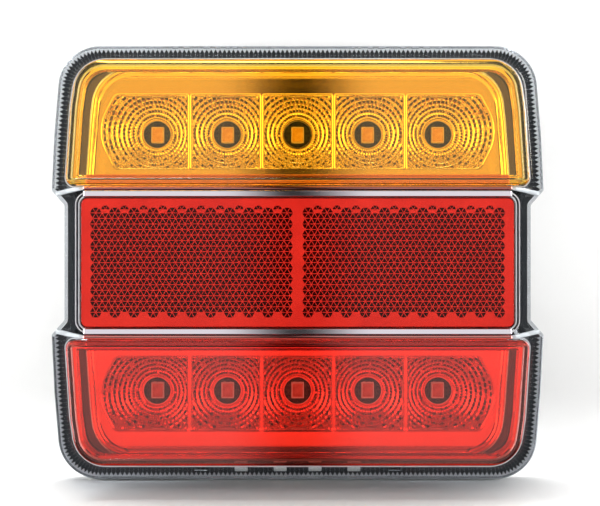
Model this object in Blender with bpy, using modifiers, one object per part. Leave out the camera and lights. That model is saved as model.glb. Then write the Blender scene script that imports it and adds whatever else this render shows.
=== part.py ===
"""A square trailer tail lamp: amber indicator on top, reflex reflector across the waist, red lamp below.

The lamp faces -Y with +Z up, and its origin is the centre of its back mounting face. Everything in
front of the mounting panel has negative Y, and the two fixing studs point to +Y. Each flat or turned
piece is drawn as (x, height) outlines at a depth, which is the distance in front of the mounting face.
"""
import math

import bmesh
import bpy
from mathutils import Vector

MM = 0.001
GAP = 0.3 * MM

# Outer body
DEPTH = 34.0 * MM
SKIRT_DEPTH = 7.0 * MM
SKIRT_BACK = 0.6 * MM
COVER_FRONT = 32.0 * MM
COVER_WALL = 1.4 * MM
COVER_PLATE = 2.0 * MM
COVER_LEAN = 0.6 * MM
WAIST_WALL = 0.9 * MM
HOUSING_DEPTH = 7.5 * MM
HOUSING_WALL = 2.0 * MM
HOUSING_FLOOR_BACK = 1.2 * MM
HOUSING_FLOOR_FRONT = 3.2 * MM
BACK_CHAMFER = 0.6 * MM

# Lenses
LENS_BACK = COVER_FRONT + 0.1 * MM
LENS_SKIRT_BACK = 28.5 * MM
LENS_LAP = 1.2 * MM
LENS_SKIRT_WALL = 1.4 * MM
REFLEX_HALF_WIDTH = 44.9 * MM
REFLEX_HALF_HEIGHT = 13.5 * MM
BACKING_BACK = 29.4 * MM
BACKING_FRONT = 31.0 * MM

# Light modules
BOARD_BACK = 11.9 * MM
BOARD_FRONT = 13.5 * MM
TRAY_BACK = 14.0 * MM
TRAY_FRONT = 26.5 * MM
CUP_EDGE = 25.4 * MM
CUP_FLOOR = 15.4 * MM
LED_PITCH = 15.3 * MM
LED_HEIGHT = 27.9 * MM
LED_HOLE_RADIUS = 2.85 * MM
LED_SIZE = (2.8 * MM, 3.5 * MM, 1.3 * MM)
LEDS_IN_ROW = 5
RIB = 1.0 * MM
END_CUP_TAPER = 3.0 * MM
CUP_LOW = 19.6 * MM
CUP_HIGH = 36.4 * MM
END_CUP_EDGE = 41.4 * MM
CUP_DRAFT = 3.4 * MM
BOARD_HALF_WIDTH = 43.5 * MM
BOARD_HALF_HEIGHT = 41.0 * MM
BOARD_CORNER = 6.0 * MM
SUPPORT_HALF_WIDTH = 44.5 * MM
SUPPORT_HALF_HEIGHT = 15.4 * MM
SUPPORT_FRONT = 28.2 * MM
SUPPORT_WALL = 1.6 * MM

# Number plate light
PLATE_BOARD_TOP = -43.0 * MM
PLATE_BOARD_THICKNESS = 1.0 * MM
PLATE_BOARD_HALF_WIDTH = 20.0 * MM
PLATE_BOARD_DEPTHS = (4.8 * MM, 11.6 * MM)
PLATE_LED_XS = (-12.6 * MM, -3.9 * MM, 3.9 * MM, 12.6 * MM)
PLATE_LED_THICKNESS = 1.1 * MM
PLATE_LED_DEPTHS = (7.4 * MM, 10.9 * MM)
PLATE_WINDOW_HALF_WIDTH = 23.2 * MM
PLATE_WINDOW_BACK = 4.4 * MM
PLATE_WINDOW_HEIGHT = -46.6 * MM
PLATE_WINDOW_HALF_HEIGHT = 4.0 * MM

# Driver parts on the back of the board: (x, height, thickness) sizes, then places
RESISTOR_SIZE = (6.3 * MM, 3.2 * MM, 1.0 * MM)
RESISTOR_XS = (-30.0 * MM, -20.0 * MM, 20.0 * MM, 30.0 * MM)
RESISTOR_HEIGHT = 20.0 * MM
DIODE_SIZE = (4.4 * MM, 2.6 * MM, 2.2 * MM)
DIODE_XS = (-12.0 * MM, 12.0 * MM)
DIODE_HEIGHT = -33.0 * MM
TERMINAL_SIZE = (16.0 * MM, 9.0 * MM, 6.0 * MM)
TERMINAL_HEIGHT = 2.0 * MM
CAPACITOR_PLACE = (30.0 * MM, -22.0 * MM)
CAPACITOR_RADIUS = 3.0 * MM
CAPACITOR_LENGTH = 5.6 * MM

# Fixings
STUD_X = 26.0 * MM
STUD_RADIUS = 2.5 * MM
STUD_END = -20.0 * MM
STUD_HEAD_RADIUS = 4.6 * MM
STUD_HEAD_THICKNESS = 2.4 * MM
STUD_HOLE_RADIUS = 2.8 * MM
PANEL = 3.0 * MM
FLAT_WASHER = (5.0 * MM, 1.0 * MM)
SPRING_WASHER = (4.4 * MM, 1.2 * MM)
NUT_ACROSS_FLATS = 8.0 * MM
NUT_THICKNESS = 4.0 * MM
LAND_HALF_WIDTH = 38.0 * MM
LAND_HALF_HEIGHT = 7.0 * MM
RIB_XS = (-40.0 * MM, -13.0 * MM, 13.0 * MM, 40.0 * MM)
BACK_RIB = 1.2 * MM
BOSS_X = 38.0 * MM
BOSS_HEIGHT = 8.5 * MM
BOSS_RADIUS = 3.0 * MM
BOSS_TOP = BOARD_BACK - GAP
PILOT_RADIUS = 1.75 * MM
SCREW_RADIUS = 1.45 * MM
SCREW_HEAD_RADIUS = 2.8 * MM
SCREW_HEAD = 1.8 * MM
SCREW_TIP = 5.0 * MM

# Cable entry and vent
GROMMET_HEIGHT = -21.0 * MM
GROMMET_HOLE_RADIUS = 5.3 * MM
VENT_PLACE = (26.0 * MM, 21.0 * MM)
VENT_HOLE_RADIUS = 2.8 * MM

RIB_REACH = 14.0 * MM
SMALLEST_RADIUS = 0.2 * MM
WELD = 0.00001
ARC_STEPS = 5
FINE_STEPS = 3
ROUND_SIDES = 32
SMALL_SIDES = 20

COLOURS = {
    "black_plastic": ((0.012, 0.013, 0.015, 1), 0.45, 0.0),
    "clear_plastic": ((0.86, 0.88, 0.9, 0.35), 0.06, 0.0),
    "amber_plastic": ((0.95, 0.42, 0.02, 0.55), 0.06, 0.0),
    "red_plastic": ((0.75, 0.02, 0.01, 0.6), 0.06, 0.0),
    "metallised": ((0.9, 0.9, 0.9, 1), 0.12, 1.0),
    "white_plastic": ((0.8, 0.8, 0.78, 1), 0.4, 0.0),
    "circuit_board": ((0.02, 0.045, 0.03, 1), 0.35, 0.0),
    "led_package": ((0.9, 0.88, 0.8, 1), 0.35, 0.0),
    "chip_body": ((0.02, 0.02, 0.02, 1), 0.4, 0.0),
    "zinc_steel": ((0.62, 0.62, 0.6, 1), 0.3, 1.0),
    "black_rubber": ((0.015, 0.015, 0.015, 1), 0.8, 0.0),
}


def offset(corners, grow):
    """The same corners with every side moved outward by grow, and the radii changed to suit."""
    moved = []
    for i, (x, height, radius) in enumerate(corners):
        here = Vector((x, height))
        arriving = (here - Vector(corners[i - 1][:2])).normalized()
        leaving = (Vector(corners[(i + 1) % len(corners)][:2]) - here).normalized()
        outward = Vector((arriving.y + leaving.y, -arriving.x - leaving.x))
        here += outward * grow / (1 + arriving.dot(leaving))
        bend = math.copysign(grow, arriving.cross(leaving) * grow)
        moved.append((here.x, here.y, max(radius + bend, SMALLEST_RADIUS)))
    return moved


def rounded(corners, steps=ARC_STEPS):
    """Points round a closed counter-clockwise outline whose corners are (x, height, radius)."""
    points = []
    for i, (x, height, radius) in enumerate(corners):
        here = Vector((x, height))
        back = (Vector(corners[i - 1][:2]) - here).normalized()
        on = (Vector(corners[(i + 1) % len(corners)][:2]) - here).normalized()
        half = back.angle(on) / 2
        centre = here + (back + on).normalized() * radius / math.sin(half)
        start = here + back * radius / math.tan(half) - centre
        end = here + on * radius / math.tan(half) - centre
        first = math.atan2(start.y, start.x)
        sweep = math.remainder(math.atan2(end.y, end.x) - first, math.tau)
        for step in range(steps + 1):
            angle = first + sweep * step / steps
            points.append((centre.x + radius * math.cos(angle), centre.y + radius * math.sin(angle)))
    return points


def mirrored_left(right_side):
    """Corners of a whole outline from those of its right side, listed upward."""
    return right_side + [(-x, height, radius) for x, height, radius in reversed(right_side)]


def turned_over(corners):
    """The outline mirrored top to bottom, still counter-clockwise."""
    return [(x, -height, radius) for x, height, radius in reversed(corners)]


def four_fold(quadrant):
    """Corners of a whole outline from those of its upper right quarter."""
    upper = mirrored_left(quadrant)
    return upper + [(-x, -height, radius) for x, height, radius in upper]


def box_corners(half_width, half_height, radius, x=0.0, height=0.0):
    right_side = [(half_width, -half_height, radius), (half_width, half_height, radius)]
    return [(x + a, height + b, r) for a, b, r in mirrored_left(right_side)]


def circle(radius, x=0.0, height=0.0, sides=ROUND_SIDES):
    angles = [math.tau * i / sides for i in range(sides)]
    return [(x + radius * math.cos(a), height + radius * math.sin(a)) for a in angles]


def base_outline(inset, waist_inset):
    """The body's widest outline, moved inward, and by another amount across the waist."""
    quarter = [
        (52.3 * MM, 12.9 * MM, 0.8 * MM),
        (55.2 * MM, 16.2 * MM, 0.9 * MM),
        (54.6 * MM, 29.0 * MM, 30.0 * MM),
        (53.0 * MM, 48.6 * MM, 9.5 * MM),
    ]
    quarter_inset = offset(four_fold(quarter), -inset)[:4]
    x, height, radius = quarter_inset[0]
    quarter_inset[0] = (52.3 * MM - waist_inset, height, radius)
    return rounded(four_fold(quarter_inset))


def front_outline(inset):
    """The clear cover's outline where its sloping walls meet its front."""
    quarter = [
        (46.6 * MM, 13.2 * MM, 0.8 * MM),
        (48.9 * MM, 15.8 * MM, 0.9 * MM),
        (47.5 * MM, 32.0 * MM, 30.0 * MM),
        (46.4 * MM, 42.8 * MM, 7.4 * MM),
    ]
    return rounded(offset(four_fold(quarter), -inset))


def lens_corners(inset=0.0):
    """The amber lens's outline; the red lens is this turned over."""
    right_side = [
        (48.0 * MM, 16.0 * MM, 1.6 * MM),
        (46.6 * MM, 32.0 * MM, 30.0 * MM),
        (45.5 * MM, 41.9 * MM, 6.6 * MM),
    ]
    return offset(mirrored_left(right_side), -inset)


def reflex_corners(inset=0.0):
    return offset(box_corners(REFLEX_HALF_WIDTH, REFLEX_HALF_HEIGHT, 1.5 * MM), -inset)


def tray_corners(inset=0.0):
    """The upper reflector's outline."""
    right_side = [
        (44.9 * MM, 17.0 * MM, 1.0 * MM),
        (44.0 * MM, 30.0 * MM, 30.0 * MM),
        (42.7 * MM, 40.6 * MM, 6.5 * MM),
    ]
    return offset(mirrored_left(right_side), -inset)


def clear_scene():
    for obj in list(bpy.data.objects):
        bpy.data.objects.remove(obj, do_unlink=True)


def new_collection(name):
    made = bpy.data.collections.new(name)
    bpy.context.scene.collection.children.link(made)
    return made


def material(name):
    found = bpy.data.materials.get(name)
    if found:
        return found
    colour, roughness, metallic = COLOURS[name]
    made = bpy.data.materials.new(name)
    made.use_nodes = True
    shader = made.node_tree.nodes["Principled BSDF"]
    shader.inputs["Base Color"].default_value = colour
    shader.inputs["Alpha"].default_value = colour[3]
    shader.inputs["Roughness"].default_value = roughness
    shader.inputs["Metallic"].default_value = metallic
    return made


def add(name, mesh, finish):
    """An object drawn in (x, height, depth), stood up so that its depth runs towards -Y."""
    obj = bpy.data.objects.new(name, mesh)
    obj.rotation_euler = (math.pi / 2, 0, 0)
    if finish:
        mesh.materials.append(material(finish))
        PARTS.objects.link(obj)
    else:
        obj.hide_render = True
        obj.display_type = "WIRE"
        HELPERS.objects.link(obj)
    return obj


def plate(name, loops, back, front, finish=None):
    """A flat piece: the first loop is its outline, and the others are holes."""
    curve = bpy.data.curves.new(name, "CURVE")
    curve.dimensions = "2D"
    curve.fill_mode = "BOTH"
    curve.extrude = (front - back) / 2
    for loop in loops:
        spline = curve.splines.new("POLY")
        spline.points.add(len(loop) - 1)
        for point, (x, height) in zip(spline.points, loop):
            point.co = (x, height, 0, 1)
        spline.use_cyclic_u = True
    guide = bpy.data.objects.new(name + "_curve", curve)
    bpy.context.scene.collection.objects.link(guide)
    graph = bpy.context.evaluated_depsgraph_get()
    mesh = bpy.data.meshes.new_from_object(guide.evaluated_get(graph))
    bpy.data.objects.remove(guide, do_unlink=True)
    bm = bmesh.new()
    bm.from_mesh(mesh)
    bmesh.ops.remove_doubles(bm, verts=bm.verts, dist=WELD)
    bmesh.ops.translate(bm, verts=bm.verts, vec=(0, 0, (front + back) / 2))
    bm.to_mesh(mesh)
    bm.free()
    mesh.materials.clear()
    return add(name, mesh, finish)


def loft(name, sections, finish=None):
    """A closed skin over (outline, depth) sections that have equal numbers of points."""
    bm = bmesh.new()
    rows = [[bm.verts.new((x, height, depth)) for x, height in loop] for loop, depth in sections]
    for lower, upper in zip(rows, rows[1:]):
        for i in range(len(lower)):
            j = (i + 1) % len(lower)
            bm.faces.new((lower[i], lower[j], upper[j], upper[i]))
    bm.faces.new(list(reversed(rows[0])))
    bm.faces.new(rows[-1])
    mesh = bpy.data.meshes.new(name)
    bm.to_mesh(mesh)
    bm.free()
    return add(name, mesh, finish)


def turned(name, profile, finish, x=0.0, height=0.0, steps=ROUND_SIDES):
    """A solid of revolution about its depth axis, from (radius, depth) points, front to back."""
    bm = bmesh.new()
    verts = [bm.verts.new((radius, 0, depth)) for radius, depth in profile]
    for pair in zip(verts, verts[1:]):
        bm.edges.new(pair)
    mesh = bpy.data.meshes.new(name)
    bm.to_mesh(mesh)
    bm.free()
    obj = add(name, mesh, finish)
    obj.location = (x, 0, height)
    screw = obj.modifiers.new("turn", "SCREW")
    screw.steps = steps
    screw.render_steps = steps
    screw.use_merge_vertices = True
    screw.merge_threshold = WELD
    screw.use_smooth_shade = True
    return obj


def combine(obj, other, operation):
    change = obj.modifiers.new(other.name, "BOOLEAN")
    change.operation = operation
    change.object = other
    change.solver = "EXACT"


def cut(obj, *cutters):
    for cutter in cutters:
        combine(obj, cutter, "DIFFERENCE")


def join(obj, *pieces):
    for piece in pieces:
        combine(obj, piece, "UNION")


def block(name, size, centre, finish, edge=0.15 * MM):
    """A small box with softened edges; size and centre are (x, height, depth)."""
    bm = bmesh.new()
    bmesh.ops.create_cube(bm, size=1.0)
    bmesh.ops.scale(bm, verts=bm.verts, vec=size)
    bmesh.ops.translate(bm, verts=bm.verts, vec=centre)
    mesh = bpy.data.meshes.new(name)
    bm.to_mesh(mesh)
    bm.free()
    obj = add(name, mesh, finish)
    if edge:
        bevel = obj.modifiers.new("soft_edges", "BEVEL")
        bevel.width = edge
        bevel.segments = 1
    return obj


def make_housing():
    """The black rear tray: stepped back, stud land, stiffening ribs, and posts for the board."""
    outer_inset = COVER_WALL + GAP
    waist = WAIST_WALL + GAP
    housing = loft("rear_housing", [
        (base_outline(outer_inset + BACK_CHAMFER, waist + BACK_CHAMFER), 0),
        (base_outline(outer_inset, waist), BACK_CHAMFER),
        (base_outline(outer_inset, waist), HOUSING_DEPTH),
    ], "black_plastic")
    inner_inset = outer_inset + HOUSING_WALL
    inner = base_outline(inner_inset, waist + HOUSING_WALL)
    recess = base_outline(inner_inset + GAP, waist + HOUSING_WALL + GAP)
    cut(housing,
        plate("housing_hollow", [inner], HOUSING_FLOOR_FRONT, HOUSING_DEPTH + MM),
        plate("housing_recess", [recess], -MM, HOUSING_FLOOR_BACK))
    overlap = HOUSING_FLOOR_BACK + 0.4 * MM
    land = rounded(box_corners(LAND_HALF_WIDTH, LAND_HALF_HEIGHT, 3.0 * MM), FINE_STEPS)
    join(housing, plate("stud_land", [land], 0, overlap))
    for side in (-1, 1):
        centre = side * (LAND_HALF_HEIGHT + RIB_REACH)
        for i, x in enumerate(RIB_XS):
            rib = rounded(box_corners(BACK_RIB / 2, RIB_REACH, 0.3 * MM, x, centre), 1)
            join(housing, plate(f"back_rib_{side}_{i}", [rib], 0.2 * MM, overlap))
    half_width, half_height = PLATE_WINDOW_HALF_WIDTH, PLATE_WINDOW_HALF_HEIGHT
    window = box_corners(half_width, half_height, SMALLEST_RADIUS, 0.0, PLATE_WINDOW_HEIGHT)
    cut(housing, plate("plate_light_window", [rounded(window, 1)], PLATE_WINDOW_BACK, HOUSING_DEPTH + MM))
    for x, height in board_post_places():
        name = f"post_{x / MM:.0f}_{height / MM:.0f}"
        loop = circle(BOSS_RADIUS, x, height, SMALL_SIDES)
        join(housing, plate(name, [loop], HOUSING_FLOOR_FRONT - 0.6 * MM, BOSS_TOP))
        pilot = circle(PILOT_RADIUS, x, height, SMALL_SIDES)
        cut(housing, plate(name + "_pilot", [pilot], SCREW_TIP - MM, BOSS_TOP + MM))
    holes = [
        (STUD_HOLE_RADIUS, -STUD_X, 0.0),
        (STUD_HOLE_RADIUS, STUD_X, 0.0),
        (GROMMET_HOLE_RADIUS, 0.0, GROMMET_HEIGHT),
        (VENT_HOLE_RADIUS, *VENT_PLACE),
    ]
    for i, (radius, x, height) in enumerate(holes):
        loop = circle(radius, x, height, SMALL_SIDES)
        cut(housing, plate(f"housing_hole_{i}", [loop], -MM, HOUSING_FLOOR_FRONT + MM))


def board_post_places():
    return [(x * BOSS_X, height * BOSS_HEIGHT) for x in (-1, 1) for height in (-1, 1)]


def make_cover():
    """The clear cover: a skirt round the housing, sloping walls and a front with three windows."""
    cover = loft("clear_cover", [
        (base_outline(0, 0), SKIRT_BACK),
        (base_outline(0, 0), SKIRT_DEPTH),
        (front_outline(0), COVER_FRONT),
    ], "clear_plastic")
    plate_back = COVER_FRONT - COVER_PLATE
    hollow = loft("cover_hollow", [
        (base_outline(COVER_WALL, WAIST_WALL), SKIRT_BACK - MM),
        (base_outline(COVER_WALL, WAIST_WALL), SKIRT_DEPTH),
        (front_outline(COVER_WALL + COVER_LEAN), plate_back),
    ])
    windows = {
        "amber_window": lens_corners(LENS_LAP),
        "red_window": turned_over(lens_corners(LENS_LAP)),
        "reflex_window": reflex_corners(LENS_LAP),
    }
    cut(cover, hollow)
    for name, corners in windows.items():
        cut(cover, plate(name, [rounded(corners, FINE_STEPS)], plate_back - MM, COVER_FRONT + MM))


def make_lens(name, outline, shape, finish):
    """A lens: a front plate that laps over the cover, with a skirt down through its window."""
    skirt = rounded(shape(LENS_LAP + GAP), FINE_STEPS)
    hollow = rounded(shape(LENS_LAP + GAP + LENS_SKIRT_WALL), FINE_STEPS)
    lens = plate(name, [rounded(outline)], LENS_BACK, DEPTH, finish)
    root = LENS_BACK + 0.6 * MM
    join(lens, plate(name + "_skirt", [skirt, hollow], LENS_SKIRT_BACK, root))


def make_lenses():
    make_lens("amber_lens", lens_corners(), lens_corners, "amber_plastic")
    red = turned_over(lens_corners())
    make_lens("red_lens", red, lambda inset: turned_over(lens_corners(inset)), "red_plastic")
    make_lens("reflex_panel", reflex_corners(), reflex_corners, "red_plastic")
    backing = reflex_corners(LENS_LAP + LENS_SKIRT_WALL + 2 * GAP)
    plate("reflex_backing", [rounded(backing, FINE_STEPS)], BACKING_BACK, BACKING_FRONT, "white_plastic")


def led_places():
    """x of each lamp in a row, from left to right."""
    return [(i - (LEDS_IN_ROW - 1) / 2) * LED_PITCH for i in range(LEDS_IN_ROW)]


def cup_corners(index, inset):
    """A cup's mouth in the upper reflector; an end cup is wider and rounded on its outer side."""
    pitch = LED_PITCH
    centre = led_places()[index]
    low, high = CUP_LOW + inset, CUP_HIGH - inset
    if 0 < index < LEDS_IN_ROW - 1:
        half = (pitch - RIB) / 2 - inset
        return box_corners(half, (high - low) / 2, 0.4 * MM, centre, (high + low) / 2)
    side = math.copysign(1, centre)
    inner = abs(centre) - (pitch - RIB) / 2 + inset
    outer = END_CUP_EDGE - inset
    corners = [
        (inner, low, 0.4 * MM),
        (outer - END_CUP_TAPER, low, 2.5 * MM),
        (outer, (low + high) / 2, 5.0 * MM),
        (outer - END_CUP_TAPER, high, 2.5 * MM),
        (inner, high, 0.4 * MM),
    ]
    corners = [(side * x, height, radius) for x, height, radius in corners]
    return corners if side > 0 else corners[::-1]


def make_reflector(name, upright):
    """A metallised tray with five cups and a round hole for each lamp."""
    flip = (lambda corners: corners) if upright else turned_over
    tray = plate(name, [rounded(flip(tray_corners()))], TRAY_BACK, TRAY_FRONT, "metallised")
    dish = rounded(flip(tray_corners(RIB)), FINE_STEPS)
    cut(tray, plate(name + "_dish", [dish], CUP_EDGE, TRAY_FRONT + MM))
    for i, x in enumerate(led_places()):
        mouth = rounded(flip(cup_corners(i, 0.0)), FINE_STEPS)
        floor = rounded(flip(cup_corners(i, CUP_DRAFT)), FINE_STEPS)
        cut(tray, loft(f"{name}_cup_{i}", [(floor, CUP_FLOOR), (mouth, CUP_EDGE + 0.5 * MM)]))
        height = LED_HEIGHT if upright else -LED_HEIGHT
        loop = circle(LED_HOLE_RADIUS, x, height, SMALL_SIDES)
        cut(tray, plate(f"{name}_hole_{i}", [loop], TRAY_BACK - MM, CUP_FLOOR + MM))


def make_boards():
    holes = [circle(PILOT_RADIUS, x, height, SMALL_SIDES) for x, height in board_post_places()]
    outline = rounded(box_corners(BOARD_HALF_WIDTH, BOARD_HALF_HEIGHT, BOARD_CORNER), FINE_STEPS)
    plate("main_circuit_board", [outline] + holes, BOARD_BACK, BOARD_FRONT, "circuit_board")
    near, far = PLATE_BOARD_DEPTHS
    size = (2 * PLATE_BOARD_HALF_WIDTH, PLATE_BOARD_THICKNESS, far - near)
    centre = (0, PLATE_BOARD_TOP - PLATE_BOARD_THICKNESS / 2, (near + far) / 2)
    block("number_plate_board", size, centre, "circuit_board")


def make_leds():
    depth = BOARD_FRONT + GAP + LED_SIZE[2] / 2
    for colour, height in (("amber", LED_HEIGHT), ("red", -LED_HEIGHT)):
        for i, x in enumerate(led_places()):
            block(f"{colour}_led_{i + 1}", LED_SIZE, (x, height, depth), "led_package")
    height = PLATE_BOARD_TOP - PLATE_BOARD_THICKNESS - 0.1 * MM - PLATE_LED_THICKNESS / 2
    near, far = PLATE_LED_DEPTHS
    for i, x in enumerate(PLATE_LED_XS):
        size = (LED_SIZE[0], PLATE_LED_THICKNESS, far - near)
        block(f"number_plate_led_{i + 1}", size, (x, height, (near + far) / 2), "led_package")


def make_electronics():
    """The driver parts on the back of the board, in front of the housing floor."""
    face = BOARD_BACK - GAP
    for i, x in enumerate(RESISTOR_XS):
        centre = (x, RESISTOR_HEIGHT, face - RESISTOR_SIZE[2] / 2)
        block(f"ballast_resistor_{i + 1}", RESISTOR_SIZE, centre, "chip_body")
    for i, x in enumerate(DIODE_XS):
        centre = (x, DIODE_HEIGHT, face - DIODE_SIZE[2] / 2)
        block(f"protection_diode_{i + 1}", DIODE_SIZE, centre, "chip_body")
    centre = (0, TERMINAL_HEIGHT, face - TERMINAL_SIZE[2] / 2)
    block("terminal_block", TERMINAL_SIZE, centre, "white_plastic", 0.5 * MM)
    radius, end = CAPACITOR_RADIUS, face - CAPACITOR_LENGTH
    can = [(0, face), (radius, face), (radius, end), (0, end)]
    turned("smoothing_capacitor", can, "chip_body", *CAPACITOR_PLACE, SMALL_SIDES)


def make_support():
    """The frame between the two reflectors that steadies the board and the reflex panel."""
    outer = box_corners(SUPPORT_HALF_WIDTH, SUPPORT_HALF_HEIGHT, 1.5 * MM)
    inner = box_corners(SUPPORT_HALF_WIDTH - SUPPORT_WALL, SUPPORT_HALF_HEIGHT - SUPPORT_WALL, 0.8 * MM)
    loops = [rounded(corners, FINE_STEPS) for corners in (outer, inner)]
    plate("centre_support_frame", loops, TRAY_BACK, SUPPORT_FRONT, "black_plastic")


def make_board_screws():
    for i, (x, height) in enumerate(board_post_places()):
        head = BOARD_FRONT + GAP
        profile = [
            (0, head + SCREW_HEAD),
            (SCREW_HEAD_RADIUS * 0.7, head + SCREW_HEAD),
            (SCREW_HEAD_RADIUS, head + SCREW_HEAD * 0.5),
            (SCREW_HEAD_RADIUS, head),
            (SCREW_RADIUS, head),
            (SCREW_RADIUS, SCREW_TIP + MM),
            (0, SCREW_TIP),
        ]
        turned(f"board_screw_{i + 1}", profile, "zinc_steel", x, height, SMALL_SIDES)


def make_fixings():
    """Two studs through the housing, each with a flat washer, a spring washer and a nut."""
    floor = HOUSING_FLOOR_FRONT + GAP
    for side, x in (("left", -STUD_X), ("right", STUD_X)):
        profile = [
            (0, floor + STUD_HEAD_THICKNESS),
            (STUD_HEAD_RADIUS, floor + STUD_HEAD_THICKNESS),
            (STUD_HEAD_RADIUS, floor),
            (STUD_RADIUS, floor),
            (STUD_RADIUS, STUD_END + 0.8 * MM),
            (STUD_RADIUS - 0.8 * MM, STUD_END),
            (0, STUD_END),
        ]
        turned(f"fixing_stud_{side}", profile, "zinc_steel", x, 0.0, SMALL_SIDES)
        at = -PANEL
        for name, (radius, thickness) in (("flat_washer", FLAT_WASHER), ("spring_washer", SPRING_WASHER)):
            loops = [circle(radius, x, 0, SMALL_SIDES), circle(STUD_HOLE_RADIUS, x, 0, SMALL_SIDES)]
            plate(f"{name}_{side}", loops, at - thickness, at, "zinc_steel")
            at -= thickness + 0.1 * MM
        hexagon = circle(NUT_ACROSS_FLATS / math.sqrt(3), x, 0, 6)
        bore = circle(STUD_HOLE_RADIUS, x, 0, SMALL_SIDES)
        plate(f"fixing_nut_{side}", [hexagon, bore], at - NUT_THICKNESS, at, "zinc_steel")


def make_grommet():
    """A rubber grommet snapped into the housing floor, its nose closed by a membrane."""
    inside = HOUSING_FLOOR_FRONT + GAP
    outside = HOUSING_FLOOR_BACK - GAP
    flange = 7.0 * MM
    neck = GROMMET_HOLE_RADIUS - GAP
    turned("cable_grommet", [
        (0, inside + 1.2 * MM),
        (flange - 0.6 * MM, inside + 1.2 * MM),
        (flange, inside),
        (neck, inside),
        (neck, outside),
        (flange, outside),
        (flange, outside - 0.8 * MM),
        (4.6 * MM, outside - 0.8 * MM),
        (3.4 * MM, -9.0 * MM),
        (2.6 * MM, -9.0 * MM),
        (2.6 * MM, -8.0 * MM),
        (0, -8.0 * MM),
    ], "black_rubber", 0.0, GROMMET_HEIGHT, SMALL_SIDES)


def make_vent():
    x, height = VENT_PLACE
    inside = HOUSING_FLOOR_FRONT + GAP
    outside = HOUSING_FLOOR_BACK - GAP
    neck = VENT_HOLE_RADIUS - GAP
    turned("breather_vent", [
        (0, inside + 0.8 * MM),
        (neck + 0.6 * MM, inside + 0.8 * MM),
        (neck + 0.6 * MM, inside),
        (neck, inside),
        (neck, outside),
        (4.2 * MM, outside),
        (4.2 * MM, outside - 0.6 * MM),
        (3.8 * MM, outside - 0.8 * MM),
        (0, outside - 0.8 * MM),
    ], "black_plastic", x, height, SMALL_SIDES)


def main():
    make_housing()
    make_cover()
    make_lenses()
    make_reflector("reflector_tray_upper", True)
    make_reflector("reflector_tray_lower", False)
    make_support()
    make_boards()
    make_leds()
    make_electronics()
    make_board_screws()
    make_fixings()
    make_grommet()
    make_vent()


clear_scene()
PARTS = new_collection("trailer_tail_light")
HELPERS = new_collection("cutters")
main()
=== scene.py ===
"""The looks of the trailer tail light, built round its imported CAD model.

Each piece is drawn in (x, height, depth): depth is the distance in front of the back mounting face,
towards -Y, where the camera stands.
"""
import math

import bmesh
import bpy
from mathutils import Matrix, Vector


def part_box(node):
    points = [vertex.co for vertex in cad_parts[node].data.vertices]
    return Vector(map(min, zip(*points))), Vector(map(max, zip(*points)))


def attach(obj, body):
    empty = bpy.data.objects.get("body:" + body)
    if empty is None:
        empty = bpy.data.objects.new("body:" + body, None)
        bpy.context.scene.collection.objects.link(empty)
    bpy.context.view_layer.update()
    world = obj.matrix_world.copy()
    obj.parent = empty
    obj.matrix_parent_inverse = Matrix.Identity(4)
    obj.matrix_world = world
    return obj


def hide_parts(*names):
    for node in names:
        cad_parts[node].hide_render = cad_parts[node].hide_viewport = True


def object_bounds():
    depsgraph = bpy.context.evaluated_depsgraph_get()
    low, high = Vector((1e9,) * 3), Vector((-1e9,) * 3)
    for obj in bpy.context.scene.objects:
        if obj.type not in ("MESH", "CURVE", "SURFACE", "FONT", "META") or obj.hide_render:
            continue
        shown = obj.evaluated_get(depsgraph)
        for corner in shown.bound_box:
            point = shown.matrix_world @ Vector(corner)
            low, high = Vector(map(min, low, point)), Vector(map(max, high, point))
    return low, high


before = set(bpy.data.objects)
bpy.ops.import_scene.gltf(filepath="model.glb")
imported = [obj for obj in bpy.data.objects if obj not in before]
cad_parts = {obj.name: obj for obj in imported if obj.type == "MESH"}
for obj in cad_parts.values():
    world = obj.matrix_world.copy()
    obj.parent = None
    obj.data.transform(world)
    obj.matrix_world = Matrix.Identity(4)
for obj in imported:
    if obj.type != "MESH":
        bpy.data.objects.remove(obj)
cad_low, cad_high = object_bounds()

MM = 0.001
LAMP = "lamp"
LEDS_IN_ROW = 5
WELD = 0.0005 * MM
BASE_STEPS = 14

# The cups of the reflectors
RING_PITCH = 0.94 * MM
FACETS = 48
SAMPLES_PER_FACET = 4
SAMPLES_PER_RING = 4
FACET_BULGE = 0.24 * MM
FACET_TREAD = 0.5
# the last sample of a ring stays just inside it, so that the facets meet in a crease
LAST_SAMPLE = 0.995
LOW_IN_CUP = -0.45
CUP_EDGE = 24.0 * MM
RIB = 1.1 * MM
RIB_CREST = 0.1 * MM
RIB_DROP = 0.45 * MM
# the last share lies level with the one before it, so that the band beyond shades flat
RIB_SHARES = (0.0, 0.2, 0.45, 0.7, 1.0, 1.08)
LED_HOLE_RADIUS = 2.85 * MM
CUP_LIP = 0.45 * MM
CUP_START = LED_HOLE_RADIUS + CUP_LIP
# the tray's rim: insets in mm, and depths in mm from its front
TRAY_RIM = (
    (0.0, -0.55), (0.12, -0.25), (0.35, -0.06), (0.6, 0.0), (0.85, -0.06),
    (1.15, -0.3), (1.4, -0.8), (1.6, -1.6),
)

# The reflex panel's lattice of triangles
LATTICE_SIDE = 1.316 * MM
LATTICE_INRADIUS = LATTICE_SIDE * math.sqrt(3) / 6
LATTICE_LINE = 0.07 * MM
LATTICE_COLUMNS = 21
LATTICE_ROWS = 10
LATTICE_BAR = 1.7 * MM
LATTICE_WELD = 0.002 * MM
TOP_SIDE = 1.02 * MM
TOP_GAP = 0.68 * MM
PRISM_PIT = 0.4 * MM
PLATE_INSET = 0.3 * MM
PLATE_THICKNESS = 0.8 * MM

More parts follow.
